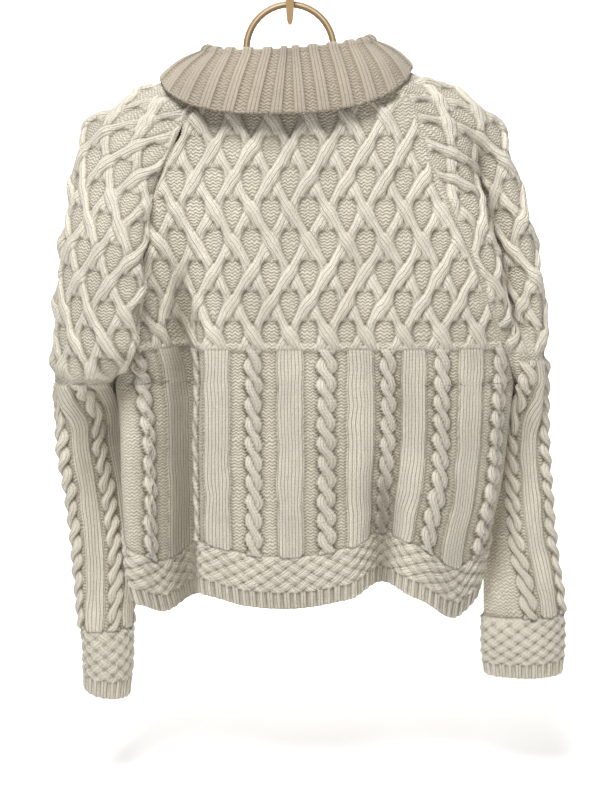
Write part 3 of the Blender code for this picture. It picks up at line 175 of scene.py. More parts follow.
# Body: sections at each height, the raglan seams, the folds of the cloth and the hem
body = {
    "round": 2.4,
    "ridgeZ": -390.0,  # where the trellis ends
    "underarmZ": -432.0,
    "narrowZ": -640.0,  # down to here the columns look for the narrowest row
    "hemZ": -676.0,
    "formZ": (-92.0, -706.0, -2.0),
    "rows": 330,
    "neckRows": 18,
    "neckClear": 14.0,  # from the neck to where the trellis begins
    "ridgeFade": 8.0,  # over which it runs into the welt
    "hemRows": 68,
    "columns": 270,
    "hem": {"basket": 58.0, "rib": 20.0, "ribTop": 19.0},  # heights above the hem
    # where the left raglan seam has come open
    "slit": {"z": -164.0, "half": 14.0, "wide": 3.0, "reach": 24.0},
    "sections": table(
        "z left right back front",
        (-90, -100, 125, 45, 43),
        (-104, -142, 160, 46, 44),
        (-118, -174, 190, 47, 45),
        (-131, -196, 213, 48, 46),
        (-146, -218, 228, 49, 46.5),
        (-170, -234, 242, 50.5, 47),
        (-220, -246, 257, 53, 49),
        (-300, -250, 270, 58, 53),
        (-390, -222, 258, 64, 57),
        (-432, -195, 250, 66, 59),
        (-525, -191, 241, 68, 61),
        (-630, -184, 221, 69, 62),
        (-700, -172, 208, 69, 62),
    ),
    "raglan": table(
        "z left right",
        (-92, -56, 84),
        (-104, -73, 103),
        (-118, -91, 120),
        (-131, -103, 131),
        (-176, -125.4, 145),
        (-216, -144, 161),
        (-255, -156, 180),
        (-300, -163, 200),
        (-345, -168, 217),
        (-390, -176, 234),
        (-432, -195, 250),
    ),
    # where across, where it begins and is full, half its width, how far in and how far to the right
    "folds": {
        "back": listed(
            "name at begins full half deep lean",
            ("left bulge", -188, -400, -520, 42, -30, 0),
            ("left recess", -126, -230, -430, 40, 34, 12),
            ("fold edge", -84, -330, -480, 28, -5, -7),
            ("right valley", 100, -450, -650, 36, 27, 2),
            ("middle hollow", 20, -520, -660, 60, 5, 0),
            ("right bulge", 160, -430, -600, 44, -6, 0),
            ("yoke sag", 70, -210, -300, 46, 4, 0),
        ),
        "front": listed(
            "name at begins full half deep lean",
            ("left hollow", -96, -330, -600, 34, 22, 0),
            ("middle hollow", 34, -430, -640, 30, 18, 0),
            ("right hollow", 150, -360, -560, 36, 20, 0),
        ),
    },
    "hemLine": {
        "back": table(
            "at z",
            *((-260, -658), (-215, -676), (-180, -690), (-140, -672), (-98, -662), (-50, -674), (0, -678)),
            *((60, -669), (112, -654), (160, -668), (206, -694), (240, -680), (285, -650)),
        ),
        "front": table(
            "at z",
            *((-280, -652), (-200, -662), (-110, -655), (0, -664)),
            *((60, -656), (130, -664), (190, -656), (280, -646)),
        ),
    },
}

# Neck ring, where the collar is knitted on
neck = {
    "x": 9.0,
    "wide": 93.0,
    "back": 46.0,
    "front": 44.0,
    "sideZ": -87.0,
    "tilt": 0.05,
    "drop": {"back": 24.0, "front": 62.0},
    "seamAcross": {"left": -68.0, "right": 86.0},
}


def ringPoint(ring, angle, z):
    # angle 0 is at the left, 90 degrees at the back and 270 at the front
    c, s = np.cos(angle), np.sin(angle)
    depth = np.where(s >= 0.0, ring["back"], ring["front"])
    power = 2.0 / ring.get("round", 2.0)
    x = ring["x"] - ring["wide"] * np.sign(c) * np.abs(c) ** power
    y = -depth * np.sign(s) * np.abs(s) ** power
    return np.stack(np.broadcast_arrays(x, y, z), axis=-1)


def neckPoint(angle):
    s = np.sin(angle)
    drop = np.where(s >= 0.0, neck["drop"]["back"], neck["drop"]["front"]) * np.abs(s) ** 1.6
    z = neck["sideZ"] - neck["tilt"] * neck["wide"] * np.cos(angle) - drop
    return ringPoint(neck, angle, z)


def neckOut(angle):
    depth = np.where(np.sin(angle) >= 0.0, neck["back"], neck["front"])
    out = np.stack((-np.cos(angle) / neck["wide"], -np.sin(angle) / depth, 0.0 * depth), axis=-1)
    return unit(out)


def neckSeamAngle(side, face):
    angle = math.acos((neck["x"] - neck["seamAcross"][side]) / neck["wide"])
    return angle if face == "back" else 2.0 * math.pi - angle


class Form:
    # A smooth surface as rows of points. Each row runs from its first end to its last, and "along" counts in
    # millimetres from the column "zero" or, without one, from x = 0.
    samples = 301

    def __init__(self, keys, points, zero=None):
        step = np.linalg.norm(np.diff(points, axis=1), axis=2)
        along = np.concatenate((np.zeros((len(points), 1)), np.cumsum(step, axis=1)), axis=1)
        if zero is None:
            x = points[:, :, 0]
            at = np.argmax((x[:, :-1] <= 0.0) & (x[:, 1:] > 0.0), axis=1)
            row = np.arange(len(points))
            start = along[row, at] - step[row, at] * x[row, at] / (x[row, at + 1] - x[row, at])
        else:
            start = along[:, zero]
        self.keys = keys
        self.along = along - start[:, None]
        self.first, self.last = self.along[:, 0], self.along[:, -1]
        shares = np.linspace(0.0, 1.0, self.samples)
        self.points = np.empty((len(points), self.samples, 3))
        for k in range(len(points)):
            goal = mix(self.first[k], self.last[k], shares)
            for axis in range(3):
                self.points[k, :, axis] = np.interp(goal, self.along[k], points[k, :, axis])

    def edge(self):
        # distance to the nearer end of the row
        return np.minimum(self.along - self.first[:, None], self.last[:, None] - self.along)

    def place(self, key):
        spot = (key - self.keys[0]) / (self.keys[1] - self.keys[0])
        low = np.clip(np.floor(spot).astype(int), 0, len(self.keys) - 2)
        return low, np.clip(spot - low, 0.0, 1.0)

    def ends(self, key):
        low, t = self.place(key)
        first = mix(self.first[low], self.first[low + 1], t)
        return first, mix(self.last[low], self.last[low + 1], t)

    def narrowest(self, start, end, past):
        # the ends of the narrowest row between two keys, each moved outwards
        first, last = self.ends(np.linspace(start, end, 8))
        return np.max(first) - past, np.min(last) + past

    def at(self, share, key):
        low, t = self.place(key)
        spot = np.clip(share, 0.0, 1.0) * (self.samples - 1)
        left = np.clip(np.floor(spot).astype(int), 0, self.samples - 2)
        s = (spot - left)[..., None]
        above = mix(self.points[low, left], self.points[low, left + 1], s)
        below = mix(self.points[low + 1, left], self.points[low + 1, left + 1], s)
        return mix(above, below, t[..., None])


def bodyForm(face):
    z = np.arange(*body["formZ"])
    left, right, depth = (curve(body["sections"], "z", name)(z) for name in ("left", "right", face))
    middle, half = 0.5 * (left + right), 0.5 * (right - left)
    turns = []
    for side, end in (("left", 0.0), ("right", math.pi)):
        share = np.clip((middle - curve(body["raglan"], "z", side)(z)) / half, -1.0, 1.0)
        angle = np.arccos(np.sign(share) * np.abs(share) ** (0.5 * body["round"]))
        turns.append(np.where(z <= body["underarmZ"], end, angle))
    angle = mix(turns[0][:, None], turns[1][:, None], np.linspace(0.0, 1.0, 241)[None, :])
    c, s = np.cos(angle), np.sin(angle)
    power = 2.0 / body["round"]
    sign = -1.0 if face == "back" else 1.0
    x = middle[:, None] - half[:, None] * np.sign(c) * np.abs(c) ** power
    y = sign * depth[:, None] * np.abs(s) ** power
    plain = np.stack((x, y, np.broadcast_to(z[:, None], x.shape)), axis=-1)
    flat = Form(z, plain)
    # towards the underarm the folds fade before the side seam
    fades = mix(1.0, ease(flat.edge() / 26.0), ease((-360.0 - z) / 50.0)[:, None])
    for fold in body["folds"][face]:
        grown = ease((fold["begins"] - z) / (fold["begins"] - fold["full"]))[:, None] * fades
        size = grown * hump(flat.along - fold["at"], fold["half"])
        plain[..., 1] -= sign * fold["deep"] * size
        plain[..., 0] += fold["lean"] * size
    return Form(z, plain)


bodyForms = {face: bodyForm(face) for face in ("back", "front")}


def seamPoint(side, face, z):
    # a point of a raglan seam, or of the side seam below the underarm, led into the neck ring over 12 mm
    z = np.asarray(z, dtype=float)
    lead = 12.0
    top = neckPoint(neckSeamAngle(side, face))
    share = 0.0 if side == "left" else 1.0
    below = bodyForms[face].at(share + 0.0 * z, np.minimum(z, top[2] - lead))
    t = ease((top[2] - z) / lead)[..., None]
    point = np.where((z > top[2] - lead)[..., None], mix(top, below, t), below)
    point[..., 2] = z
    return point


def seamZ(side, face, height):
    # a height on the back's raglan seam, carried over to the front's
    back = neckPoint(neckSeamAngle(side, "back"))[2]
    own = neckPoint(neckSeamAngle(side, face))[2]
    share = np.maximum(0.0, (height - back) / (body["underarmZ"] - back))
    return mix(own, body["underarmZ"], share)


# Sleeves: the outer line from the neck over the shoulder to the cuff, and the rings that hang from it. A ring
# ends on the raglan seam at the height "seam", and below the underarm at the inner line (ix, iy, iz). "push"
# and "reach" bow it towards the back from its inner and outer end, "pushf" and "reachf" towards the front.
sleeve = {
    "cuff": {"basket": 70.0, "rib": 18.0, "ribTop": 18.0},  # heights above the cuff's edge
    "endGap": 0.2,  # from the outer line's end to the cuff's edge
    "frontLean": 0.12,
    "ridgeAbove": {"left": 18.0, "right": 44.0},  # from the end of the trellis to the underarm
    "rows": 372,
    "neckRows": 12,
    "cuffRow": -40,  # a row of the cuff, where the strands of its basket weave are counted
    "columns": 234,
    "left": table(
        "x y z seam lean push reach pushf reachf ix iy iz",
        (-84, 0, -91.6, -100, 0.1, 2, 14, 2, 14, -195, 0, -432),
        (-142, 0, -105, -124, 0.15, 6, 18, 6, 18, -195, 0, -432),
        (-190, 0, -130, -156, 0.2, 12, 24, 10, 22, -195, 0, -432),
        (-221, 0, -149, -188, 0.18, 22, 30, 12, 26, -195, 0, -432),
        (-238, -3, -206, -232, -0.06, 44, 40, 12, 30, -195, 0, -432),
        (-252, -8, -292, -306, -0.36, 60, 54, 12, 34, -195, 0, -432),
        (-261, -10, -380, -382, -0.45, 62, 58, 18, 40, -195, 0, -432),
        (-262.5, -8, -446, -432, 0, 46, 50, 40, 46, -195.6, 2, -433),
        (-260.5, -4, -500, -432, 0, 16, 40, 40, 52, -190, 38, -492),
        (-254, 4, -560, -432, 0, 16, 36, 40, 52, -184, 44, -558),
        (-247.5, 8, -632, -432, 0, 20, 36, 42, 48, -180, 36, -632),
        (-240.5, 4, -700, -432, 0, 36, 40, 42, 46, -184, 14, -700),
        (-235.5, 0, -745, -432, 0, 42, 42, 42, 42, -184, 2, -748),
        (-236, 0, -786, -432, 0, 40, 40, 40, 40, -188, 0, -797),
    ),
    "right": table(
        "x y z seam lean push reach pushf reachf ix iy iz",
        (102, 0, -82.4, -93, 0.1, 2, 14, 2, 14, 250, 0, -432),
        (150, 0, -101, -119, 0.15, 6, 18, 6, 18, 250, 0, -432),
        (196, 0, -122.5, -150, 0.2, 10, 24, 10, 24, 250, 0, -432),
        (227, 0, -146, -184, 0.24, 10, 26, 12, 26, 250, 0, -432),
        (249, 2, -206, -230, 0.3, 6, 28, 16, 32, 250, 0, -432),
        (272, 6, -292, -304, 0.4, 4, 32, 24, 40, 250, 0, -432),
        (284.5, 8, -380, -382, 0.3, 10, 38, 34, 48, 250, 0, -432),
        (286.5, 6, -446, -432, 0, 30, 42, 44, 48, 250.6, 2, -433),
        (289, 8, -505, -432, 0, 14, 38, 44, 48, 240, 34, -500),
        (295, 8, -565, -432, 0, 14, 36, 42, 44, 232, 38, -563),
        (301.5, 5, -632, -432, 0, 18, 36, 38, 40, 224, 28, -632),
        (309, 2, -685, -432, 0, 30, 34, 34, 36, 222, 8, -688),
        (312, 0, -732, -432, 0, 32, 32, 32, 32, 222, 0, -738),
        (310.5, 0, -770, -432, 0, 32, 32, 32, 32, 226, 0, -771),
    ),
    "shoulderRows": 7,  # rows of each table that lie above the underarm
    # where around, where along the sleeve it begins, is full and ends, half its width and how far in
    "folds": {
        "left": listed(
            "name at begins full ends half deep",
            ("outer groove", -14, 170, 240, 460, 15, 6),
            ("elbow crease", 40, 300, 360, 520, 18, 6),
        ),
        "right": listed(
            "name at begins full ends half deep",
            ("side recess", -46, 110, 230, 350, 26, 30),
            ("forearm crease", -16, 380, 440, 600, 14, 5),
        ),
    },
}


def sleeveForm(side):
    rows = dict(sleeve[side])
    outer = np.stack((rows["x"], rows["y"], rows["z"]), axis=-1)
    rows["length"] = np.concatenate(([0.0], np.cumsum(np.linalg.norm(np.diff(outer, axis=0), axis=1))))
    underarm, cuff = rows["length"][sleeve["shoulderRows"]], rows["length"][-1]
    length = np.linspace(0.0, cuff, 381)
    read = {name: curve(rows, "length", name)(length)[:, None] for name in rows if name != "length"}
    out = np.stack((read["x"], read["y"], read["z"]), axis=-1)
    inner = np.stack((read["ix"], read["iy"], read["iz"]), axis=-1)
    below = (length >= underarm)[:, None]
    halfColumns = 40
    t = np.linspace(0.0, 1.0, halfColumns + 1)[None, :, None]
    halves = []
    for face, sign, suffix in (("back", -1.0, ""), ("front", 1.0, "f")):
        end = np.where(below[..., None], inner, seamPoint(side, face, seamZ(side, face, read["seam"])))
        away = np.array((0.0, sign, 0.0))
        lean = read["lean"]
        if face == "front":
            above = ease((underarm - length) / 40.0)[:, None]
            lean = np.where(below, lean, mix(0.0, sleeve["frontLean"], above))
        bow = end + (out - end) * lean[..., None] + away * read["push" + suffix][..., None]
        turn = out + away * read["reach" + suffix][..., None]
        bowed = end * (1 - t) ** 3 + bow * 3 * (1 - t) ** 2 * t
        halves.append(bowed + turn * 3 * (1 - t) * t**2 + out * t**3)
    points = np.concatenate((halves[0], halves[1][:, -2::-1]), axis=1)
    plain = Form(length, points, halfColumns)
    inward = np.cross(np.gradient(points, axis=1), np.array((0.0, 0.0, 1.0 if side == "left" else -1.0)))
    size = np.zeros(plain.along.shape)
    for fold in sleeve["folds"][side]:
        grown = ease((length - fold["begins"]) / (fold["full"] - fold["begins"]))
        grown = grown * ease((fold["ends"] + 60.0 - length) / 60.0)
        size += fold["deep"] * grown[:, None] * hump(plain.along - fold["at"], fold["half"])
    points = points + unit(inward) * (size * ease(plain.edge() / 20.0))[..., None]
    form = Form(length, points, halfColumns)
    form.underarm, form.cuff = underarm, cuff
    return form


sleeveForms = {side: sleeveForm(side) for side in ("left", "right")}
print("forms ready")


class Relief:
    # Height of the pattern over the plain form, with what each spot is: on a strand that rises to the right
    # or to the left, on plain knit stitches, on a rope or in the basket weave. Everything else is purl.
    def __init__(self, shape):
        self.high = np.zeros(shape)
        self.marks = np.zeros(shape + (4,))  # rising strand, falling strand, straight knit, rope
        self.woven = np.zeros(shape)
        self.local = np.zeros(shape + (2,))

    def lift(self, high, mark=None, strength=1.0):
        above = high > self.high
        self.high = np.maximum(self.high, high)
        if mark is not None:
            on = above & (high > 0.12 * strength)
            self.marks[on] = 0.0
            self.marks[on, mark] = 1.0

    def roundEdge(self, toEdge, long=3.0):
        self.high -= knit["edgeRound"] * np.clip(1.0 - toEdge / long, 0.0, 1.0) ** 2


def strandSection(distance, half):
    return np.clip(1.0 - (distance / half) ** 2, 0.0, 1.0) ** 0.55


def lattice(relief, u, v, shown):
    # u and v count crossings across and upwards. Two rows in four have the strand that rises to the right on
    # top.
    bend = knit["strandBend"]
    rising, falling = u - v, u + v
    row = np.round(falling) - np.round(rising)
    risingOver = np.isin(np.mod(row, 4), (1, 2))
    strands = []
    for mark, main, other, over in ((0, rising, falling, risingOver), (1, falling, rising, ~risingOver)):
        lean = bend * np.cos(2.0 * np.pi * other)
        steep = np.hypot((1.0 - lean) / knit["trellisWide"], (1.0 + lean) / knit["trellisTall"])
        across = wrap(main - bend / (2.0 * np.pi) * np.sin(2.0 * np.pi * other)) / steep
        near = hump(wrap(other), 0.4)
        half = knit["strandHalf"] * mix(1.0, np.where(over, 1.05, 0.95), near)
        crest = knit["strandHigh"] * mix(1.0, np.where(over, knit["over"], knit["under"]), near)
        strands.append((mark, crest * strandSection(across, half)))
    x = 0.5 * (wrap(rising - 0.5) + wrap(falling - 0.5)) * knit["trellisWide"]
    z = 0.5 * (wrap(falling - 0.5) - wrap(rising - 0.5)) * knit["trellisTall"]
    cell = knit["cell"]
    beside = 0.85 * (np.abs(x) - np.interp(z, cell["z"], cell["half"]))
    outside = np.maximum(beside, np.maximum(z - cell["z"][-1], cell["z"][0] - z))
    edge = ease(0.3 + outside / 4.0)
    for mark, high in strands:
        relief.lift(shown * edge * np.maximum(high, knit["web"] * knit["strandHigh"]), mark, 2.0)


def ropes(relief, offset, phase, shown):
    # two strands that change sides once a turn, the upper one from the left to the right as it goes down
    part = np.mod(phase, 1.0)
    swing = knit["ropeSwing"] * np.cos(np.pi * part)
    lift = np.sin(np.pi * part)
    for side, crest in ((-1.0, 0.82 + 0.22 * lift), (1.0, 0.82 - 0.45 * lift)):
        section = strandSection(offset - side * swing, knit["ropeHalf"] - knit["ropeSwing"] + 0.4)
        relief.lift(shown * knit["ropeHigh"] * crest * section, 3, 4.0)


def cableColumns(relief, along, spent, long, ends, narrow, inside, look):
    # Bands and rope cables, "spent" of the "long" millimetres below the trellis. "ends" are the row's ends,
    # and a column that reaches past the ends of the narrowest row is left out.
    at, width = along - look["from"], look["repeat"]
    whole = at / width
    if "pushed" in look:
        pushed = look["pushed"]
        whole = np.interp(at, pushed["at"], pushed["whole"])
        width = 1.0 / np.interp(at, pushed["at"], np.gradient(pushed["whole"], pushed["at"]))
    left = long - spent
    # the ends of the bands and ropes are round
    tip = np.sqrt(np.clip(1.0 - np.clip(1.0 - left / knit["tipLong"], 0.0, 1.0) ** 2, 0.0, 1.0))
    edge = ease((np.minimum(along - ends[0], ends[1] - along) - 1.5) / 4.0)
    shown = inside * edge * (tip > 0.0) * ease(0.2 + spent / 8.0)
    phase = spent / long * np.round(long / knit["ropeTurn"])

    def column(shift, half):
        # offset from the column's middle, how much of it shows, and where it is
        offset = wrap(whole - shift) * width
        fits = (along - offset - half > narrow[0]) & (along - offset + half < narrow[1])
        return offset, shown * fits, inside & (np.abs(offset) < 0.25 * width)

    offset, seen, here = column(0.0, look["half"] + knit["bandEdge"])
    flat = ease((look["half"] * np.maximum(tip, 0.02) + knit["bandEdge"] - np.abs(offset)) / 3.6)
    relief.lift(seen * ease(left / 5.0) * knit["bandHigh"] * flat, 2, 3.0)
    relief.local[here, 0] = (0.2 * offset / knit["bandWale"])[here]
    offset, seen, here = column(0.5, knit["ropeHalf"])
    ropes(relief, offset, phase, seen * ease(left / 6.0))
    relief.local[here] = np.stack((0.001 * offset, phase), axis=-1)[here]


def basket(relief, u, v, shown):
    # strands side by side in both directions, over and under in turn
    rising, falling = u - v, u + v
    heights = (
        (0, wrap(rising), -np.cos(np.pi * falling) * np.cos(np.pi * np.round(rising))),
        (1, wrap(falling), np.cos(np.pi * rising) * np.cos(np.pi * np.round(falling))),
    )
    for mark, across, wave in heights:
        section = np.clip(1.0 - (2.0 * across) ** 2, 0.0, 1.0) ** 0.5
        relief.lift(shown * knit["basketHigh"] * (0.62 + 0.5 * wave) * section, mark, 1.0)


def border(relief, u, above, look, edge):
    # basket weave with ribs below it, "above" millimetres over the edge of the piece
    v = (above - look["rib"]) / knit["basketTall"]
    inRib = above <= look["ribTop"]
    toTop = look["basket"] + 2.0 - above
    low = (toTop > 0.0) & ~inRib
    basket(relief, u, v, edge * low * ease(toTop / 3.0))
    taken = np.max(relief.marks[..., 2:], axis=-1) > 0.5
    # two ribs to each step of the basket weave, almost as thick as the weave
    wave = ease(0.5 + 0.7 * np.cos(4.0 * np.pi * u))
    relief.lift(inRib * (knit["ribFoot"] + knit["ribHigh"] * wave))
    relief.marks[inRib] = (0.0, 0.0, 1.0, 0.0)
    woven = (low & ~taken) | inRib
    relief.woven[woven] = 1.0
    relief.local[woven] = np.stack((u + 0.0 * v, v), axis=-1)[woven]


def uneven(shape, size, spacing, seed):
    # smooth random values up to "size", with a hill or a hollow every "spacing" grid lines
    rows, columns = shape[0] // spacing + 2, shape[1] // spacing + 2
    coarse = np.random.default_rng(seed).uniform(-1.0, 1.0, (rows, columns))
    down, across = (np.arange(n) / spacing for n in shape)
    i, j = down.astype(int), across.astype(int)
    s, t = ease(down - i)[:, None], ease(across - j)[None, :]
    above = mix(coarse[i][:, j], coarse[i][:, j + 1], t)
    return size * mix(above, mix(coarse[i + 1][:, j], coarse[i + 1][:, j + 1], t), s)


def softened(values, times):
    for _ in range(times):
        for axis in (0, 1):
            rolled = np.moveaxis(values, axis, 0)
            inner = 0.25 * rolled[:-2] + 0.5 * rolled[1:-1] + 0.25 * rolled[2:]
            rolled = np.concatenate((rolled[:1], inner, rolled[-1:]))
            values = np.moveaxis(rolled, 0, axis)
    return values


def cavities(high, closed):
    # how far each spot lies below its surroundings, from 0 to 1, with the creases between strands near 1; it
    # sets the painted shade in the creases
    wide = np.concatenate((high[:, -20:-1], high, high[:, 1:20]), axis=1) if closed else high
    near, far = softened(wide, 4), softened(wide, 24)
    deep = np.maximum(0.0, near - wide) / 1.9 + np.maximum(0.0, far - wide) / 18.0
    return np.clip(deep[:, 19:-19] if closed else deep, 0.0, 1.0)


def hollows(base, normals):
    # how deep each point lies in a fold, from 0 to 1, measured from the line between its neighbours 30 mm
    # away; it sets the painted shade in the folds' hollows
    step = np.median(np.linalg.norm(np.diff(base, axis=1), axis=-1))
    reach = int(round(30.0 / step))
    padded = np.pad(base, ((0, 0), (reach, reach), (0, 0)), mode="edge")
    chord = 0.5 * (padded[:, : -2 * reach] + padded[:, 2 * reach :])
    return softened(ease(np.sum((chord - base) * normals, axis=-1) / 16.0), 8)


def outwards(points, hint):
    # normals of a grid of points, turned to the side of the hint
    normals = unit(np.cross(np.gradient(points, axis=1), np.gradient(points, axis=0)))
    normals = unit(softened(normals, 2))
    return normals * np.sign(np.sum(normals * hint))


def hexColour(text):
    # sRGB hex to linear
    values = [int(text[i : i + 2], 16) / 255.0 for i in (0, 2, 4)]
    return tuple(v / 12.92 if v <= 0.04045 else ((v + 0.055) / 1.055) ** 2.4 for v in values) + (1.0,)


def addNode(tree, kind, inputs=(), **settings):
    # one node with its settings, and links or values for its inputs
    node = tree.nodes.new("ShaderNode" + kind)
    for name, value in settings.items():
        setattr(node, name, value)
    for slot, value in dict(inputs).items():
        if isinstance(value, bpy.types.NodeSocket):
            tree.links.new(value, node.inputs[slot])
        else:
            node.inputs[slot].default_value = value
    return node


def newMaterial(name):
    material = bpy.data.materials.new(name)
    material.use_nodes = True
    return material, material.node_tree, material.node_tree.nodes["Principled BSDF"]


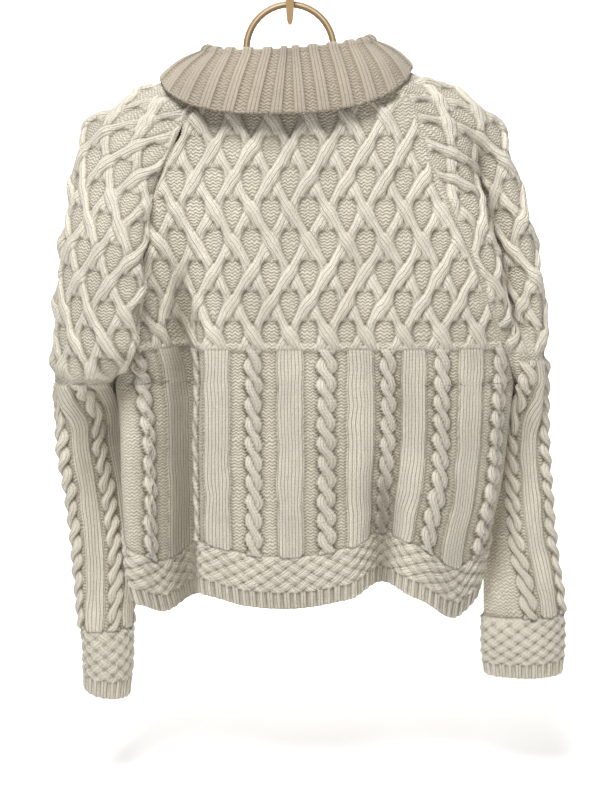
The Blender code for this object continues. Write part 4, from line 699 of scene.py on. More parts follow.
def knittedWool(name, wool):
    # Lambswool, spun woollen and knitted at about 4 mm a stitch, then washed: each knit stitch is a soft V,
    # each purl stitch a wavy ridge, and the loose fibres give a matt, slightly furry bloom.
    material, tree, shader = newMaterial(name)
    cloth = addNode(tree, "UVMap", uv_map="cloth")
    local = addNode(tree, "UVMap", uv_map="local")
    marks = addNode(tree, "Attribute", attribute_name="marks")
    woven = addNode(tree, "Attribute", attribute_name="woven")
    # painted shade in the creases and fold hollows, worked out in makeCloth
    crease = addNode(tree, "Attribute", attribute_name="crease")
    clothXY = addNode(tree, "SeparateXYZ", {0: cloth.outputs["UV"]})
    localXY = addNode(tree, "SeparateXYZ", {0: local.outputs["UV"]})
    split = addNode(tree, "SeparateColor", {0: marks.outputs["Color"]})
    # no stitch is quite like the next
    place = addNode(tree, "TexCoord").outputs["Object"]
    drift = addNode(tree, "TexNoise", {"Vector": place, "Scale": 90.0, "Detail": 2.0, "Roughness": 0.6})
    driftXY = addNode(tree, "SeparateXYZ", {0: drift.outputs["Color"]})
    made = {
        "plainX": clothXY.outputs[0],
        "plainY": clothXY.outputs[1],
        "driftX": driftXY.outputs[0],
        "driftY": driftXY.outputs[1],
        "localX": localXY.outputs[0],
        "localY": localXY.outputs[1],
        "rising": split.outputs[0],
        "falling": split.outputs[1],
        "straight": split.outputs[2],
        "rope": marks.outputs["Alpha"],
        "woven": woven.outputs["Fac"],
    }
    tWide, tTall = knit["trellisWide"], knit["trellisTall"]
    bWide, bTall = knit["basketWide"], knit["basketTall"]
    wale, row = knit["wale"], knit["row"]
    # stitches across a strand and rows along it, for one step of the lattice
    tAcross = tWide * tTall / math.hypot(tWide, tTall) / wale
    bAcross = bWide * bTall / math.hypot(bWide, bTall) / wale
    tRows = 0.5 * math.hypot(tWide, tTall) / row
    bRows = 0.5 * math.hypot(bWide, bTall) / row
    bend = knit["strandBend"] / (2.0 * math.pi)
    steps = (
        ("x", "MULTIPLY_ADD", "driftX", 0.003, "plainX"),
        ("y", "MULTIPLY_ADD", "driftY", 0.005, "plainY"),
        # lattice of the trellis or of the basket weave
        ("isWoven", "GREATER_THAN", "woven", 0.5),
        ("trellisU", "MULTIPLY", "x", 1000.0 / tWide),
        ("trellisV", "MULTIPLY", "y", 1000.0 / tTall),
        ("shiftU", "SUBTRACT", "localX", "trellisU"),
        ("shiftV", "SUBTRACT", "localY", "trellisV"),
        ("u", "MULTIPLY_ADD", "isWoven", "shiftU", "trellisU"),
        ("v", "MULTIPLY_ADD", "isWoven", "shiftV", "trellisV"),
        ("across", "MULTIPLY_ADD", "isWoven", bAcross - tAcross, tAcross),
        ("rows", "MULTIPLY_ADD", "isWoven", bRows - tRows, tRows),
        ("turnR", "SUBTRACT", "u", "v"),
        ("turnF", "ADD", "u", "v"),
        ("bend", "MULTIPLY_ADD", "isWoven", -bend, bend),
        ("angleR", "MULTIPLY", "turnR", 2.0 * math.pi),
        ("angleF", "MULTIPLY", "turnF", 2.0 * math.pi),
        ("sineR", "SINE", "angleR"),
        ("sineF", "SINE", "angleF"),
        ("bentR", "MULTIPLY", "sineF", "bend"),
        ("bentF", "MULTIPLY", "sineR", "bend"),
        ("middleR", "SUBTRACT", "turnR", "bentR"),
        ("middleF", "SUBTRACT", "turnF", "bentF"),
        ("wholeR", "ROUND", "middleR"),
        ("wholeF", "ROUND", "middleF"),
        ("offR", "SUBTRACT", "middleR", "wholeR"),
        ("offF", "SUBTRACT", "middleF", "wholeF"),
        ("pR", "MULTIPLY", "offR", "across"),
        ("qR", "MULTIPLY", "turnF", "rows"),
        ("pF", "MULTIPLY", "offF", "across"),
        ("qBack", "MULTIPLY", "turnR", "rows"),
        ("qF", "MULTIPLY", "qBack", -1.0),
        # rope cable
        ("ropeMm", "MULTIPLY", "localX", 1000.0),
        ("ropePart", "FRACT", "localY"),
        ("ropeTurn", "MULTIPLY", "ropePart", math.pi),
        ("ropeCos", "COSINE", "ropeTurn"),
        ("overAt", "MULTIPLY_ADD", "ropeCos", knit["ropeSwing"], "ropeMm"),
        ("underAt", "MULTIPLY_ADD", "ropeCos", -knit["ropeSwing"], "ropeMm"),
        ("overFar", "ABSOLUTE", "overAt"),
        ("isOver", "LESS_THAN", "overFar", knit["ropeHalf"] - knit["ropeSwing"]),
        ("overShift", "SUBTRACT", "overAt", "underAt"),
        ("strandAt", "MULTIPLY_ADD", "isOver", "overShift", "underAt"),
        ("pRope", "MULTIPLY", "strandAt", 1.0 / knit["ropeWale"]),
        ("qRope", "MULTIPLY", "localY", -knit["ropeTurn"] / row),
        # straight stitches of the bands and ribs
        ("pStraight", "MULTIPLY", "localX", 5.0),
        ("qStraight", "MULTIPLY", "y", 1000.0 / row),
        # the stitch that is here
        ("onRope", "GREATER_THAN", "rope", 0.5),
        ("onR", "GREATER_THAN", "rising", 0.5),
        ("onF", "GREATER_THAN", "falling", 0.5),
        ("onStraight", "GREATER_THAN", "straight", 0.5),
        ("p1", "SUBTRACT", "pRope", "pStraight"),
        ("p2", "MULTIPLY_ADD", "onRope", "p1", "pStraight"),
        ("p3", "SUBTRACT", "pR", "p2"),
        ("p4", "MULTIPLY_ADD", "onR", "p3", "p2"),
        ("p5", "SUBTRACT", "pF", "p4"),
        ("p", "MULTIPLY_ADD", "onF", "p5", "p4"),
        ("q1", "SUBTRACT", "qRope", "qStraight"),
        ("q2", "MULTIPLY_ADD", "onRope", "q1", "qStraight"),
        ("q3", "SUBTRACT", "qR", "q2"),
        ("q4", "MULTIPLY_ADD", "onR", "q3", "q2"),
        ("q5", "SUBTRACT", "qF", "q4"),
        ("q", "MULTIPLY_ADD", "onF", "q5", "q4"),
        ("knit1", "MAXIMUM", "onRope", "onStraight"),
        ("knit2", "MAXIMUM", "onR", "onF"),
        ("isKnit", "MAXIMUM", "knit1", "knit2"),
        # a knit stitch: two legs that meet below
        ("pWhole", "ROUND", "p"),
        ("pOff", "SUBTRACT", "p", "pWhole"),
        ("fromMiddle", "ABSOLUTE", "pOff"),
        ("legTurn", "MULTIPLY_ADD", "fromMiddle", 1.6 * math.pi, 0.2 * math.pi),
        ("legs", "SINE", "legTurn"),
        ("vRow", "MULTIPLY_ADD", "fromMiddle", -1.2, "q"),
        ("vTurn", "MULTIPLY", "vRow", 2.0 * math.pi),
        ("vWave", "COSINE", "vTurn"),
        ("vHigh", "MULTIPLY_ADD", "vWave", 0.15, 0.85),
        ("knitHigh", "MULTIPLY", "legs", "vHigh"),
        # a purl stitch: wavy ridges
        ("purlTurn", "MULTIPLY", "x", 2000.0 * math.pi / knit["purlWale"]),
        ("purlCos", "COSINE", "purlTurn"),
        ("purlRow", "MULTIPLY_ADD", "purlCos", 0.25, "qStraight"),
        ("purlPhase", "MULTIPLY", "purlRow", 2.0 * math.pi),
        ("purlWave", "COSINE", "purlPhase"),
        ("purlHigh", "MULTIPLY_ADD", "purlWave", 0.42, 0.42),
        ("choice", "SUBTRACT", "knitHigh", "purlHigh"),
        ("stitch", "MULTIPLY_ADD", "isKnit", "choice", "purlHigh"),
        # painted shade in the dips of the stitches: the bands show their stitches more than the raised
        # strands do
        ("dip", "SUBTRACT", 1.0, "knitHigh"),
        ("contrast", "MULTIPLY_ADD", "onStraight", 0.4, 0.5),
        ("fadedDip", "MULTIPLY", "dip", "contrast"),
        ("knitTone", "SUBTRACT", 1.0, "fadedDip"),
        ("purlTone", "MULTIPLY_ADD", "purlWave", 0.25, 0.49),
        ("toneChoice", "SUBTRACT", "knitTone", "purlTone"),
        ("tone", "MULTIPLY_ADD", "isKnit", "toneChoice", "purlTone"),
    )
    for result, operation, *inputs in steps:
        values = {i: made[value] if isinstance(value, str) else value for i, value in enumerate(inputs)}
        made[result] = addNode(tree, "Math", values, operation=operation).outputs[0]
    # fibres are 0.02 mm thick, drawn as 0.6 mm tufts so that they show
    fibres = addNode(tree, "TexNoise", {"Vector": place, "Scale": 1500.0, "Detail": 3.0, "Roughness": 0.65})
    # the yarn is a little thicker and lighter in places
    slubs = addNode(tree, "TexNoise", {"Vector": place, "Scale": 420.0, "Detail": 3.0, "Roughness": 0.7})
    clouds = addNode(tree, "TexNoise", {"Vector": place, "Scale": 14.0, "Detail": 3.0, "Roughness": 0.5})
    deep = wool["stitchDeep"]
    relief = addNode(tree, "Bump", {"Strength": 1.0, "Distance": deep, "Height": made["stitch"]})
    tufts = {"Strength": 0.6, "Distance": 0.0005, "Height": fibres.outputs["Fac"]}
    fuzz = addNode(tree, "Bump", tufts | {"Normal": relief.outputs["Normal"]})
    # painted shade: the groove colour darkens the dips between knit stitches and the troughs of the purl
    # ridges
    tone = addNode(
        tree,
        "MapRange",
        {"Value": made["tone"], "From Min": 0.05, "From Max": 0.75, "To Min": 0.0, "To Max": 1.0},
    )
    yarn = addNode(
        tree,
        "Mix",
        {0: tone.outputs[0], 6: hexColour(wool["groove"]), 7: hexColour(wool["yarn"])},
        data_type="RGBA",
    )
    thickness = addNode(tree, "Math", {0: slubs.outputs["Fac"], 1: clouds.outputs["Fac"]}, operation="ADD")
    shade = addNode(
        tree,
        "MapRange",
        {"Value": thickness.outputs[0], "From Min": 0.6, "From Max": 1.4, "To Min": 0.8, "To Max": 1.14},
    )
    washed = addNode(tree, "VectorMath", {0: yarn.outputs[2], "Scale": shade.outputs[0]}, operation="SCALE")
    # painted shade: little light leaves the creases between strands and the hollows of the folds, so the
    # colour is darkened there towards a painted shade colour
    foldShaded = addNode(
        tree,
        "Mix",
        {0: crease.outputs["Fac"], 6: washed.outputs[0], 7: hexColour(wool["crease"])},
        data_type="RGBA",
    )
    tree.links.new(foldShaded.outputs[2], shader.inputs["Base Color"])
    tree.links.new(fuzz.outputs["Normal"], shader.inputs["Normal"])
    shader.inputs["Roughness"].default_value = 0.95
    shader.inputs["Specular IOR Level"].default_value = 0.2
    shader.inputs["Sheen Weight"].default_value = 0.25
    shader.inputs["Sheen Roughness"].default_value = 0.6
    return material


# the groove colour and the colour for creases are painted shade colours: dips between stitches, creases
# between strands and hollows of the folds
creamLambswool = knittedWool(
    "creamLambswool", {"yarn": "F0E9D8", "groove": "AEA58D", "crease": "796F58", "stitchDeep": 0.0013}
)
# painted shade: the collar's yarn, groove and crease colours are a darker, greyer copy of the cream, for the
# collar lying at another slant to the light
shadedCollarLambswool = knittedWool(
    "shadedCollarLambswool", {"yarn": "C1B5A3", "groove": "9C907B", "crease": "746850", "stitchDeep": 0.0010}
)


def quads(grid):
    return np.stack((grid[:-1, :-1], grid[:-1, 1:], grid[1:, 1:], grid[1:, :-1]), axis=-1).reshape(-1, 4)


def rim(line, innerLine, turned):
    # a strip between the fine outer edge and the coarse inner one
    made, inset = [], knit["inset"]
    for k in range(len(innerLine) - 1):
        start, middle, end = k * inset, k * inset + inset // 2, (k + 1) * inset
        for i in range(start, end):
            made.append((line[i], line[i + 1], innerLine[k if i < middle else k + 1]))
        made.append((innerLine[k + 1], innerLine[k], line[middle]))
    made = np.array(made)
    return made[:, ::-1] if turned else made


def makeCloth(name, base, normals, relief, cloth, material, closed=False):
    # The outer side is the form with its relief, the inner side a plain grid one wall further in. "closed"
    # joins the last column to the first.
    rows, columns = base.shape[0] - 1, base.shape[1] - 1
    inset = knit["inset"]
    outer = base + normals * relief.high[..., None]
    inner = (base - normals * knit["wall"])[::inset, ::inset]
    count = columns if closed else columns + 1
    innerCount = columns // inset if closed else columns // inset + 1
    ids = np.arange((rows + 1) * count).reshape(rows + 1, count)
    innerIds = ids.size + np.arange((rows // inset + 1) * innerCount).reshape(-1, innerCount)
    innerSize = innerIds.size
    points = np.concatenate((outer[:, :count].reshape(-1, 3), inner[:, :innerCount].reshape(-1, 3)))
    if closed:
        ids, innerIds = (np.concatenate((grid, grid[:, :1]), axis=1) for grid in (ids, innerIds))
    # the same faces once as points of the mesh and once as places of the grid, for the UV maps
    spots = np.arange((rows + 1) * (columns + 1)).reshape(rows + 1, columns + 1)
    # faces look outwards
    a, b, c = (outer[:-1, :-1], outer[:-1, 1:], outer[1:, 1:])
    way = -1 if np.sum(np.cross(b - a, c - b) * normals[:-1, :-1]) < 0.0 else 1
    sets = []
    for fine, plain in ((ids, innerIds), (spots, spots[::inset, ::inset])):
        strips = [rim(fine[0], plain[0], True), rim(fine[-1], plain[-1], False)]
        if not closed:
            strips += [rim(fine[:, 0], plain[:, 0], False), rim(fine[:, -1], plain[:, -1], True)]
        fours, threes = np.concatenate((quads(fine), quads(plain)[:, ::-1])), np.concatenate(strips)
        sets.append(np.concatenate((fours[:, ::way].ravel(), threes[:, ::way].ravel())))
    loops, loopSpots = sets
    starts = np.concatenate((4 * np.arange(len(fours)), 4 * len(fours) + 3 * np.arange(len(threes))))
    mesh = bpy.data.meshes.new(name)
    mesh.vertices.add(len(points))
    mesh.vertices.foreach_set("co", (points * 0.001).ravel())
    mesh.loops.add(len(loops))
    mesh.loops.foreach_set("vertex_index", loops.astype(np.int32))
    mesh.polygons.add(len(starts))
    mesh.polygons.foreach_set("loop_start", starts.astype(np.int32))
    mesh.update(calc_edges=True)
    mesh.validate()
    mesh.shade_smooth()
    for title, values in (("cloth", cloth), ("local", relief.local)):
        layer = mesh.uv_layers.new(name=title)
        layer.data.foreach_set("uv", values.reshape(-1, 2)[loopSpots].ravel())

    def perPoint(values):
        shape = values.shape[2:]
        return np.concatenate((values[:, :count].reshape((-1,) + shape), np.zeros((innerSize,) + shape)))

    colours = mesh.color_attributes.new("marks", "FLOAT_COLOR", "POINT")
    colours.data.foreach_set("color", perPoint(relief.marks).ravel())
    # painted shade: darker colour where the relief lies below its surroundings and, on open pieces, in the
    # folds' hollows
    paintedShade = cavities(relief.high, closed)
    if not closed:
        paintedShade = np.maximum(paintedShade, 0.6 * hollows(base, normals))
    for title, values in (("woven", relief.woven), ("crease", paintedShade)):
        flags = mesh.attributes.new(title, "FLOAT", "POINT")
        flags.data.foreach_set("value", perPoint(values).ravel())
    piece = bpy.data.objects.new(name, mesh)
    bpy.context.scene.collection.objects.link(piece)
    mesh.materials.append(material)
    print(name, len(fours) * 2 + len(threes), "triangles")
    return piece


def addNeckRows(base, angles, count, corners):
    # rows from the neck ring down to the first row of the form, with both ends on their seams
    share = np.linspace(0.0, 1.0, base.shape[1])
    t = (np.arange(count) / count)[:, None, None]
    top = mix(neckPoint(angles)[None], base[:1], t)
    for end, (side, face) in zip((0, -1), corners):
        seam = seamPoint(side, face, top[:, end, 2])
        reach = ease(1.0 - np.abs(share + end) / knit["seamReach"])
        top += (seam - top[:, end])[:, None, :] * reach[None, :, None]
    return np.concatenate((top, base)), t[..., 0]


def edgeFade(along, first, last):
    return ease((np.minimum(along - first, last - along) - 1.0) / 5.0)


def finishCloth(name, base, normals, relief, place, edge, drift):
    relief.high *= 1.0 + uneven(edge.shape, *drift["relief"])
    base = base + normals * (uneven(edge.shape, *drift["cloth"]) * edge)[..., None]
    cloth = 0.001 * np.stack(place, axis=-1)
    return makeCloth("knitted_" + name, base, normals, relief, cloth, creamLambswool)


def makePanel(face):
    # back or front: neck edge, trellis, bands and ropes, basket weave and the ribbed hem
    form, look, hem, drift = bodyForms[face], columnLooks[face], body["hem"], drifts["panel"]
    topRows, ridge = body["neckRows"], body["ridgeZ"]
    low = neckPoint(0.5 * math.pi if face == "back" else 1.5 * math.pi)[2]
    quarter = 0.25 * knit["trellisTall"]
    start = knit["trellisZ"] + quarter * math.floor((low - 12.0 - knit["trellisZ"]) / quarter)
    hemLine = curve(body["hemLine"][face], "at", "z")
    formRows = body["rows"] - topRows
    yokeRows = round(formRows * (start - ridge) / (start - body["hemZ"]))
    lowerRows = formRows - yokeRows
    share = np.linspace(0.0, 1.0, body["columns"] + 1)[None, :]
    yokeZ = np.linspace(start, ridge, yokeRows + 1)[:, None] + 0.0 * share
    down = (np.arange(1, lowerRows + 1) / lowerRows)[:, None]
    lowerZ = mix(ridge, body["hemZ"], down) + 0.0 * share
    for _ in range(4):
        # where a column ends on the hem depends on the width of its rows
        first, last = form.ends(lowerZ)
        lowerZ = mix(ridge, hemLine(mix(first, last, share)) + 0.5, down)
    z = np.concatenate((yokeZ, lowerZ))
    first, last = form.ends(z)
    along = mix(first, last, share)
    spots = share + 0.0 * z
    if face == "back":
        # the seam has come open here
        slit = body["slit"]
        opened = slit["wide"] * hump(z[:, :1] - slit["z"], slit["half"])
        fade = np.clip(1.0 - (along - first) / slit["reach"], 0.0, 1.0)
        spots = spots + opened * fade / (last - first)[:, :1]
    angles = mix(neckSeamAngle("left", face), neckSeamAngle("right", face), share[0])
    base, t = addNeckRows(form.at(spots, z), angles, topRows, (("left", face), ("right", face)))
    z = np.concatenate((mix(low + 10.0, start, t) + 0.0 * share, z))
    rows = (first, last, along)
    first, last, along = (np.concatenate((np.repeat(v[:1], topRows, axis=0), v)) for v in rows)
    normals = outwards(base, np.array((0.0, -1.0 if face == "back" else 1.0, 0.0)))

    relief = Relief(z.shape)
    edge = edgeFade(along, first, last)
    along = along + uneven(z.shape, *drift["along"])
    patternZ = z - knit["trellisZ"] + uneven(z.shape, *drift["pattern"])
    hemZ = hemLine(along)
    above = z - hemZ
    fade = body["ridgeFade"]
    shown = ease((low - body["neckClear"] - z) / knit["trellisFade"]) * edge
    shown = shown * ease((z - ridge + 0.5 * fade) / fade)
    lattice(relief, along / knit["trellisWide"], patternZ / knit["trellisTall"], shown)
    # the welt that the strands run into
    relief.lift(knit["weltHigh"] * hump(z - ridge - 1.0, knit["weltHalf"]) * edge)
    top, bottom = ridge + look["start"], hem["basket"] - knit["overlap"]
    narrow = form.narrowest(ridge, body["narrowZ"], look["past"])
    inside = (z < top) & (above > bottom)
    cableColumns(relief, along, top - z, top - hemZ - bottom, (first, last), narrow, inside, look)
    count = np.median(np.round((last - first) / knit["basketWide"])[-body["hemRows"] :])
    border(relief, share * count, above, hem, edge)
    relief.roundEdge(above)
    return finishCloth(face, base, normals, relief, (along, patternZ), edge, drift)


def clearOfCollar(points):
    # 0 under the collar's fall and 1 clear of it
    fall = collar["fall"]
    depth = np.where(points[..., 1] < 0.0, fall["back"], fall["front"])
    across, out = np.abs((points[..., 0] - fall["x"]) / fall["wide"]), np.abs(points[..., 1] / depth)
    beside = ease((across ** fall["round"] + out ** fall["round"] - 1.03) / 0.22)
    return np.maximum(beside, ease((-120.0 - points[..., 2]) / 12.0))


def makeSleeve(side):
    # trellis over the shoulder and the upper arm, bands and ropes below, basket weave and ribs at the cuff
    form, look, cuff, drift = sleeveForms[side], columnLooks[side], sleeve["cuff"], drifts["sleeve"]
    topRows = sleeve["neckRows"]
    start, end = 0.3 * knit["trellisTall"], form.cuff - sleeve["endGap"]
    share = np.linspace(0.0, 1.0, sleeve["columns"] + 1)[None, :]
    length = np.linspace(start, end, sleeve["rows"] - topRows + 1)[:, None] + 0.0 * share
    seams = [neckSeamAngle(side, "back"), neckSeamAngle(side, "front")]
    if side == "left":
        seams[1] -= 2.0 * math.pi
    base = form.at(share + 0.0 * length, length)
    base, t = addNeckRows(base, mix(*seams, share[0]), topRows, ((side, "back"), (side, "front")))
    length = np.concatenate((mix(0.0, start, t) + 0.0 * share, length))
    first, last = form.ends(np.maximum(length, start))
    along = mix(first, last, share)
    outer = np.array((-1.0 if side == "left" else 1.0, 0.0, 0.0))
    fromMiddle = base - base.mean(axis=1, keepdims=True)
    normals = outwards(base, np.where(length[..., None] > 200.0, fromMiddle, outer))

    relief = Relief(length.shape)
    edge = edgeFade(along, first, last)
    along = along + uneven(length.shape, *drift["along"])
    patternZ = start - length + uneven(length.shape, *drift["pattern"])
    ridge = form.underarm - sleeve["ridgeAbove"][side]
    shown = edge * clearOfCollar(base) * ease((ridge - length) / knit["trellisFade"])
    lattice(relief, along / knit["trellisWide"], patternZ / knit["trellisTall"], shown)
    top, bottom = ridge + look["start"], end - cuff["basket"] + knit["overlap"]
    narrow = form.narrowest(ridge, end - cuff["basket"], look["past"])
    inside = (length > top) & (length < bottom)
    long = bottom - top + 0.0 * length
    cableColumns(relief, along, length - top, long, (first, last), narrow, inside, look)
    count = np.round((last - first)[sleeve["cuffRow"], 0] / knit["basketWide"])
    border(relief, share * count, end - length, cuff, 1.0)
    relief.roundEdge(form.cuff - length)
    return finishCloth("sleeve_" + side, base, normals, relief, (along, patternZ), edge, drift)


# Turned-down collar: rings at its fold and at the lower edge of its fall
collar = {
    "ribs": 28,
    "ribHigh": 2.4,
    "round": 6.5,  # radius of the fold's outside
    "bow": 4.0,  # how far the fall's middle bows out
    "samples": 18,  # grid columns for each rib
    "fan": 0.22,  # how much more the ribs fan out at the sides than at the back and front
    "fold": {"x": -1.5, "wide": 88.0, "back": 49.0, "front": 46.0},
    "fall": {"x": -4.0, "wide": 137.5, "back": 73.0, "front": 80.0, "round": 2.6},
    "foldZ": {"side": -60.0, "tilt": 0.06, "back": 12.0, "front": 16.0, "backPower": 1.1, "frontPower": 1.1},
    "fallZ": {"side": -92.5, "tilt": 0.042, "back": 50.0, "front": 82.0, "backPower": 1.1, "frontPower": 1.7},
    "rows": {"stand": 20, "fold": 12, "fall": 39},
}


def collarZ(heights, ring, angle):
    s = np.sin(angle)
    back = heights["back"] * np.abs(s) ** heights["backPower"]
    front = heights["front"] * np.abs(s) ** heights["frontPower"]
    return heights["side"] - heights["tilt"] * ring["wide"] * np.cos(angle) - np.where(s >= 0.0, back, front)


def makeCollar():
    count = collar["ribs"] * collar["samples"]
    fine = np.linspace(0.0, 2.0 * math.pi, 2881)
    ring = ringPoint(collar["fall"], fine, 0.0)
    total = np.concatenate(([0.0], np.cumsum(np.linalg.norm(np.diff(ring, axis=0), axis=1))))
    share = np.arange(count + 1) / count
    angle = np.interp(share * total[-1], total, fine)
    fall = ringPoint(collar["fall"], angle, collarZ(collar["fallZ"], collar["fall"], angle))
    angle = angle - collar["fan"] * np.sin(2.0 * angle)
    fold = ringPoint(collar["fold"], angle, collarZ(collar["foldZ"], collar["fold"], angle))
    out, up = neckOut(angle), np.array((0.0, 0.0, 1.0))
    thick, radius, rows = knit["wall"], collar["round"], collar["rows"]
    middle = fold - up * radius
    # stand, seen from inside the neck
    start, goal = neckPoint(angle), middle - out * (radius - thick)
    path = [mix(start, goal, k / rows["stand"]) - out * thick for k in range(rows["stand"])]
    for k in range(rows["fold"] + 1):
        turn = math.pi * (1.0 - k / rows["fold"])
        path.append(middle + out * math.cos(turn) * radius + up * math.sin(turn) * radius)
    slope = unit(fall - middle)
    face = unit(out - slope * np.sum(out * slope, axis=-1, keepdims=True))
    for k in range(1, rows["fall"] + 1):
        t = k / rows["fall"]
        path.append(mix(middle + out * radius, fall, t) + face * collar["bow"] * math.sin(math.pi * t))
    base = softened(np.stack(path), 1)
    normals = unit(np.cross(np.gradient(base, axis=1), np.gradient(base, axis=0)))
    if np.sum(normals[-20:] * face) < 0.0:
        normals = -normals
    relief = Relief(base.shape[:2])
    step = np.linalg.norm(np.diff(base, axis=0), axis=2)
    spent = np.concatenate((np.zeros((1, count + 1)), np.cumsum(step, axis=0)))
    u = share[None, :] * collar["ribs"] - 0.5 + 0.0 * spent
    # three raised stitches and three sunken ones
    wave = ease((0.25 - np.abs(wrap(u))) / 0.09 + 0.5)
    relief.lift(collar["ribHigh"] * wave, 2, 2.4)
    relief.roundEdge(spent[-1:] - spent, 3.5)
    relief.woven[:] = 1.0
    relief.local[..., 0] = 1.2 * (u + 0.5)
    cloth = 0.001 * np.stack((u * 24.0, -spent), axis=-1)
    return makeCloth("ribbed_collar", base, normals, relief, cloth, shadedCollarLambswool, closed=True)


pieces = {"back": makePanel("back"), "front": makePanel("front")}
pieces["sleeve_left"] = makeSleeve("left")
pieces["sleeve_right"] = makeSleeve("right")
pieces["collar"] = makeCollar()
for node, piece in pieces.items():
    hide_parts(node)
    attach(piece, "root")
print("cloth made")


def mouldedPlastic(name, look):
    # Polypropylene, injection moulded and satin: a soft highlight, faint flow marks and a fine grain on the
    # surface.
    material, tree, shader = newMaterial(name)
    place = addNode(tree, "TexCoord").outputs["Object"]
    flow = addNode(tree, "TexNoise", {"Vector": place, "Scale": 60.0, "Detail": 4.0, "Roughness": 0.55})
    grain = addNode(tree, "TexNoise", {"Vector": place, "Scale": 1800.0, "Detail": 2.0})
    tone = addNode(
        tree,
        "Mix",
        {0: flow.outputs["Fac"], 6: hexColour(look["dark"]), 7: hexColour(look["light"])},
        data_type="RGBA",
    )
    colour = tone.outputs[2]
    if "groove" in look:
        # the ring is two bands side by side with a paler groove between
        at = addNode(tree, "SeparateXYZ", {0: addNode(tree, "NewGeometry").outputs["Position"]})
        lifted = addNode(tree, "Math", {0: at.outputs[2], 1: look["middleZ"]}, operation="SUBTRACT")
        squares = [
            addNode(tree, "Math", {0: side, 1: side}, operation="MULTIPLY").outputs[0]
            for side in (at.outputs[0], lifted.outputs[0])
        ]
        square = addNode(tree, "Math", {0: squares[0], 1: squares[1]}, operation="ADD")
        far = addNode(tree, "Math", {0: square.outputs[0]}, operation="SQRT")
        off = addNode(tree, "Math", {0: far.outputs[0], 1: look["radius"]}, operation="SUBTRACT")
        away = addNode(tree, "Math", {0: off.outputs[0]}, operation="ABSOLUTE")
        pale = addNode(
            tree,
            "MapRange",
            {"Value": away.outputs[0], "From Min": 0.0004, "From Max": 0.0011, "To Min": 1.0, "To Max": 0.0},
        )
        groove = {0: pale.outputs[0], 6: colour, 7: hexColour(look["groove"])}
        banded = addNode(tree, "Mix", groove, data_type="RGBA")
        colour = banded.outputs[2]
    rough = addNode(tree, "MapRange", {"Value": flow.outputs["Fac"], "To Min": 0.38, "To Max": 0.55})
    skin = addNode(tree, "Bump", {"Strength": 0.3, "Distance": 0.0002, "Height": grain.outputs["Fac"]})
    tree.links.new(colour, shader.inputs["Base Color"])
    tree.links.new(rough.outputs[0], shader.inputs["Roughness"])
    tree.links.new(skin.outputs["Normal"], shader.inputs["Normal"])
    shader.inputs["IOR"].default_value = 1.49
    return material


tanPolypropylene = mouldedPlastic("tanPolypropylene", {"dark": "9C7D55", "light": "B89A70"})
bandedPolypropylene = mouldedPlastic(
    "bandedPolypropylene",
    {"dark": "8F7350", "light": "A98C64", "groove": "D8C7A6", "middleZ": -0.0685, "radius": 0.0476},
)
for name in ("hanger", "hanger_ring", "hook", "hook_peg"):
    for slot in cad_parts[name].material_slots:
        slot.material = bandedPolypropylene if name == "hanger_ring" else tanPolypropylene

# Floor and backdrop in one sweep
stage = {"floorZ": -0.90, "wallY": 4.4, "bend": 1.2, "half": 5.0, "front": -5.0, "top": 4.0, "steps": 12}
profile = [(stage["front"], stage["floorZ"])]
for k in range(stage["steps"] + 1):
    turn = 0.5 * math.pi * k / stage["steps"]
    y = stage["wallY"] - stage["bend"] + stage["bend"] * math.sin(turn)
    profile.append((y, stage["floorZ"] + stage["bend"] * (1.0 - math.cos(turn))))
profile.append((stage["wallY"], stage["top"]))
sweep = bpy.data.meshes.new("studio_sweep")
corners = [(side * stage["half"], y, z) for y, z in profile for side in (-1.0, 1.0)]
sweep.from_pydata(corners, [], [(2 * i, 2 * i + 1, 2 * i + 3, 2 * i + 2) for i in range(len(profile) - 1)])
sweep.shade_smooth()
floor = bpy.data.objects.new("studio_sweep", sweep)
bpy.context.scene.collection.objects.link(floor)
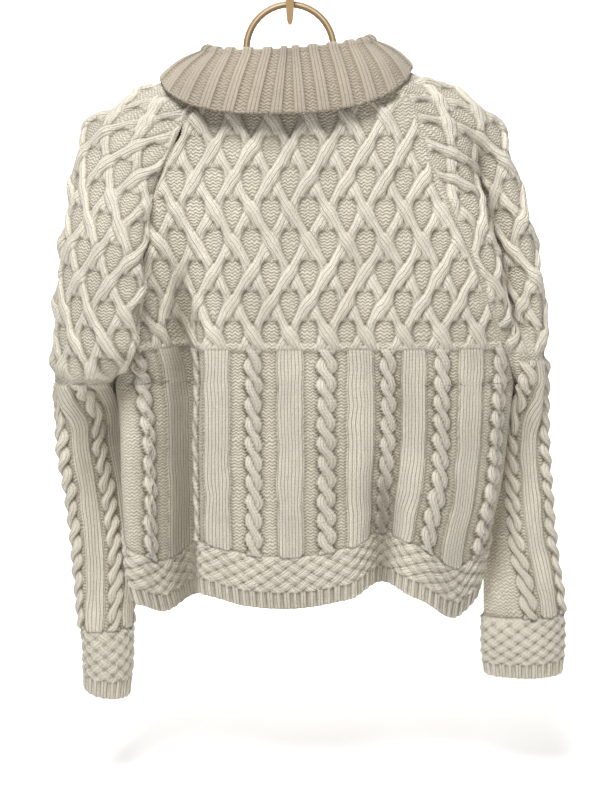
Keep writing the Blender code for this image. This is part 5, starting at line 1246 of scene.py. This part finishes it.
# rolled seamless paper, matt and even
paper, tree, shader = newMaterial("paleBackgroundPaper")
pulp = addNode(tree, "TexNoise", {"Scale": 40.0, "Detail": 3.0}).outputs["Fac"]
shade = addNode(tree, "Mix", {0: pulp, 6: hexColour("F6F5F3"), 7: hexColour("FBFAF9")}, data_type="RGBA")
tree.links.new(shade.outputs[2], shader.inputs["Base Color"])
shader.inputs["Roughness"].default_value = 0.9
sweep.materials.append(paper)

# Soft studio light: a wide lamp above and to the left, a weak one from the right, one for the backdrop and a
# pale room
lamps = (
    {"name": "key", "at": (-0.35, -1.3, 1.4), "goal": (0.01, -0.05, -0.42), "size": 0.9, "power": 50.0},
    {"name": "fill", "at": (1.8, -2.4, 0.3), "goal": (0.01, -0.05, -0.42), "size": 2.0, "power": 5.5},
    {"name": "backdrop", "at": (0.0, 1.8, 2.4), "goal": (0.0, 4.2, 0.2), "size": 3.0, "power": 260.0},
)
for lamp in lamps:
    light = bpy.data.lights.new(lamp["name"], "AREA")
    light.size = lamp["size"]
    light.energy = lamp["power"]
    holder = bpy.data.objects.new(lamp["name"], light)
    bpy.context.scene.collection.objects.link(holder)
    holder.location = lamp["at"]
    way = np.array(lamp["goal"]) - np.array(lamp["at"])
    flatWay = math.hypot(way[0], way[1])
    holder.rotation_euler = (math.atan2(flatWay, -way[2]), 0.0, math.atan2(-way[0], way[1]))
world = bpy.data.worlds.new("studio")
world.use_nodes = True
world.node_tree.nodes["Background"].inputs[0].default_value = hexColour("F4F3F1")
world.node_tree.nodes["Background"].inputs[1].default_value = 0.2
bpy.context.scene.world = world
# colours as they are, like a product photograph
bpy.context.scene.view_settings.view_transform = "Standard"

# Camera as the photograph was taken: a little above the middle and looking slightly down
view = {"at": (0.0109, -1.65, -0.24), "goal": (0.0109, -0.05, -0.448), "lens": 66.6, "sensor": 36.0}
camera = bpy.data.objects.new("camera", bpy.data.cameras.new("camera"))
camera.data.lens = view["lens"]
camera.data.sensor_width = view["sensor"]
camera.location = view["at"]
tilt = math.atan2(view["at"][2] - view["goal"][2], view["goal"][1] - view["at"][1])
camera.rotation_euler = (0.5 * math.pi - tilt, 0.0, 0.0)
bpy.context.scene.collection.objects.link(camera)
bpy.context.scene.camera = camera
print("stage, lights and camera ready")
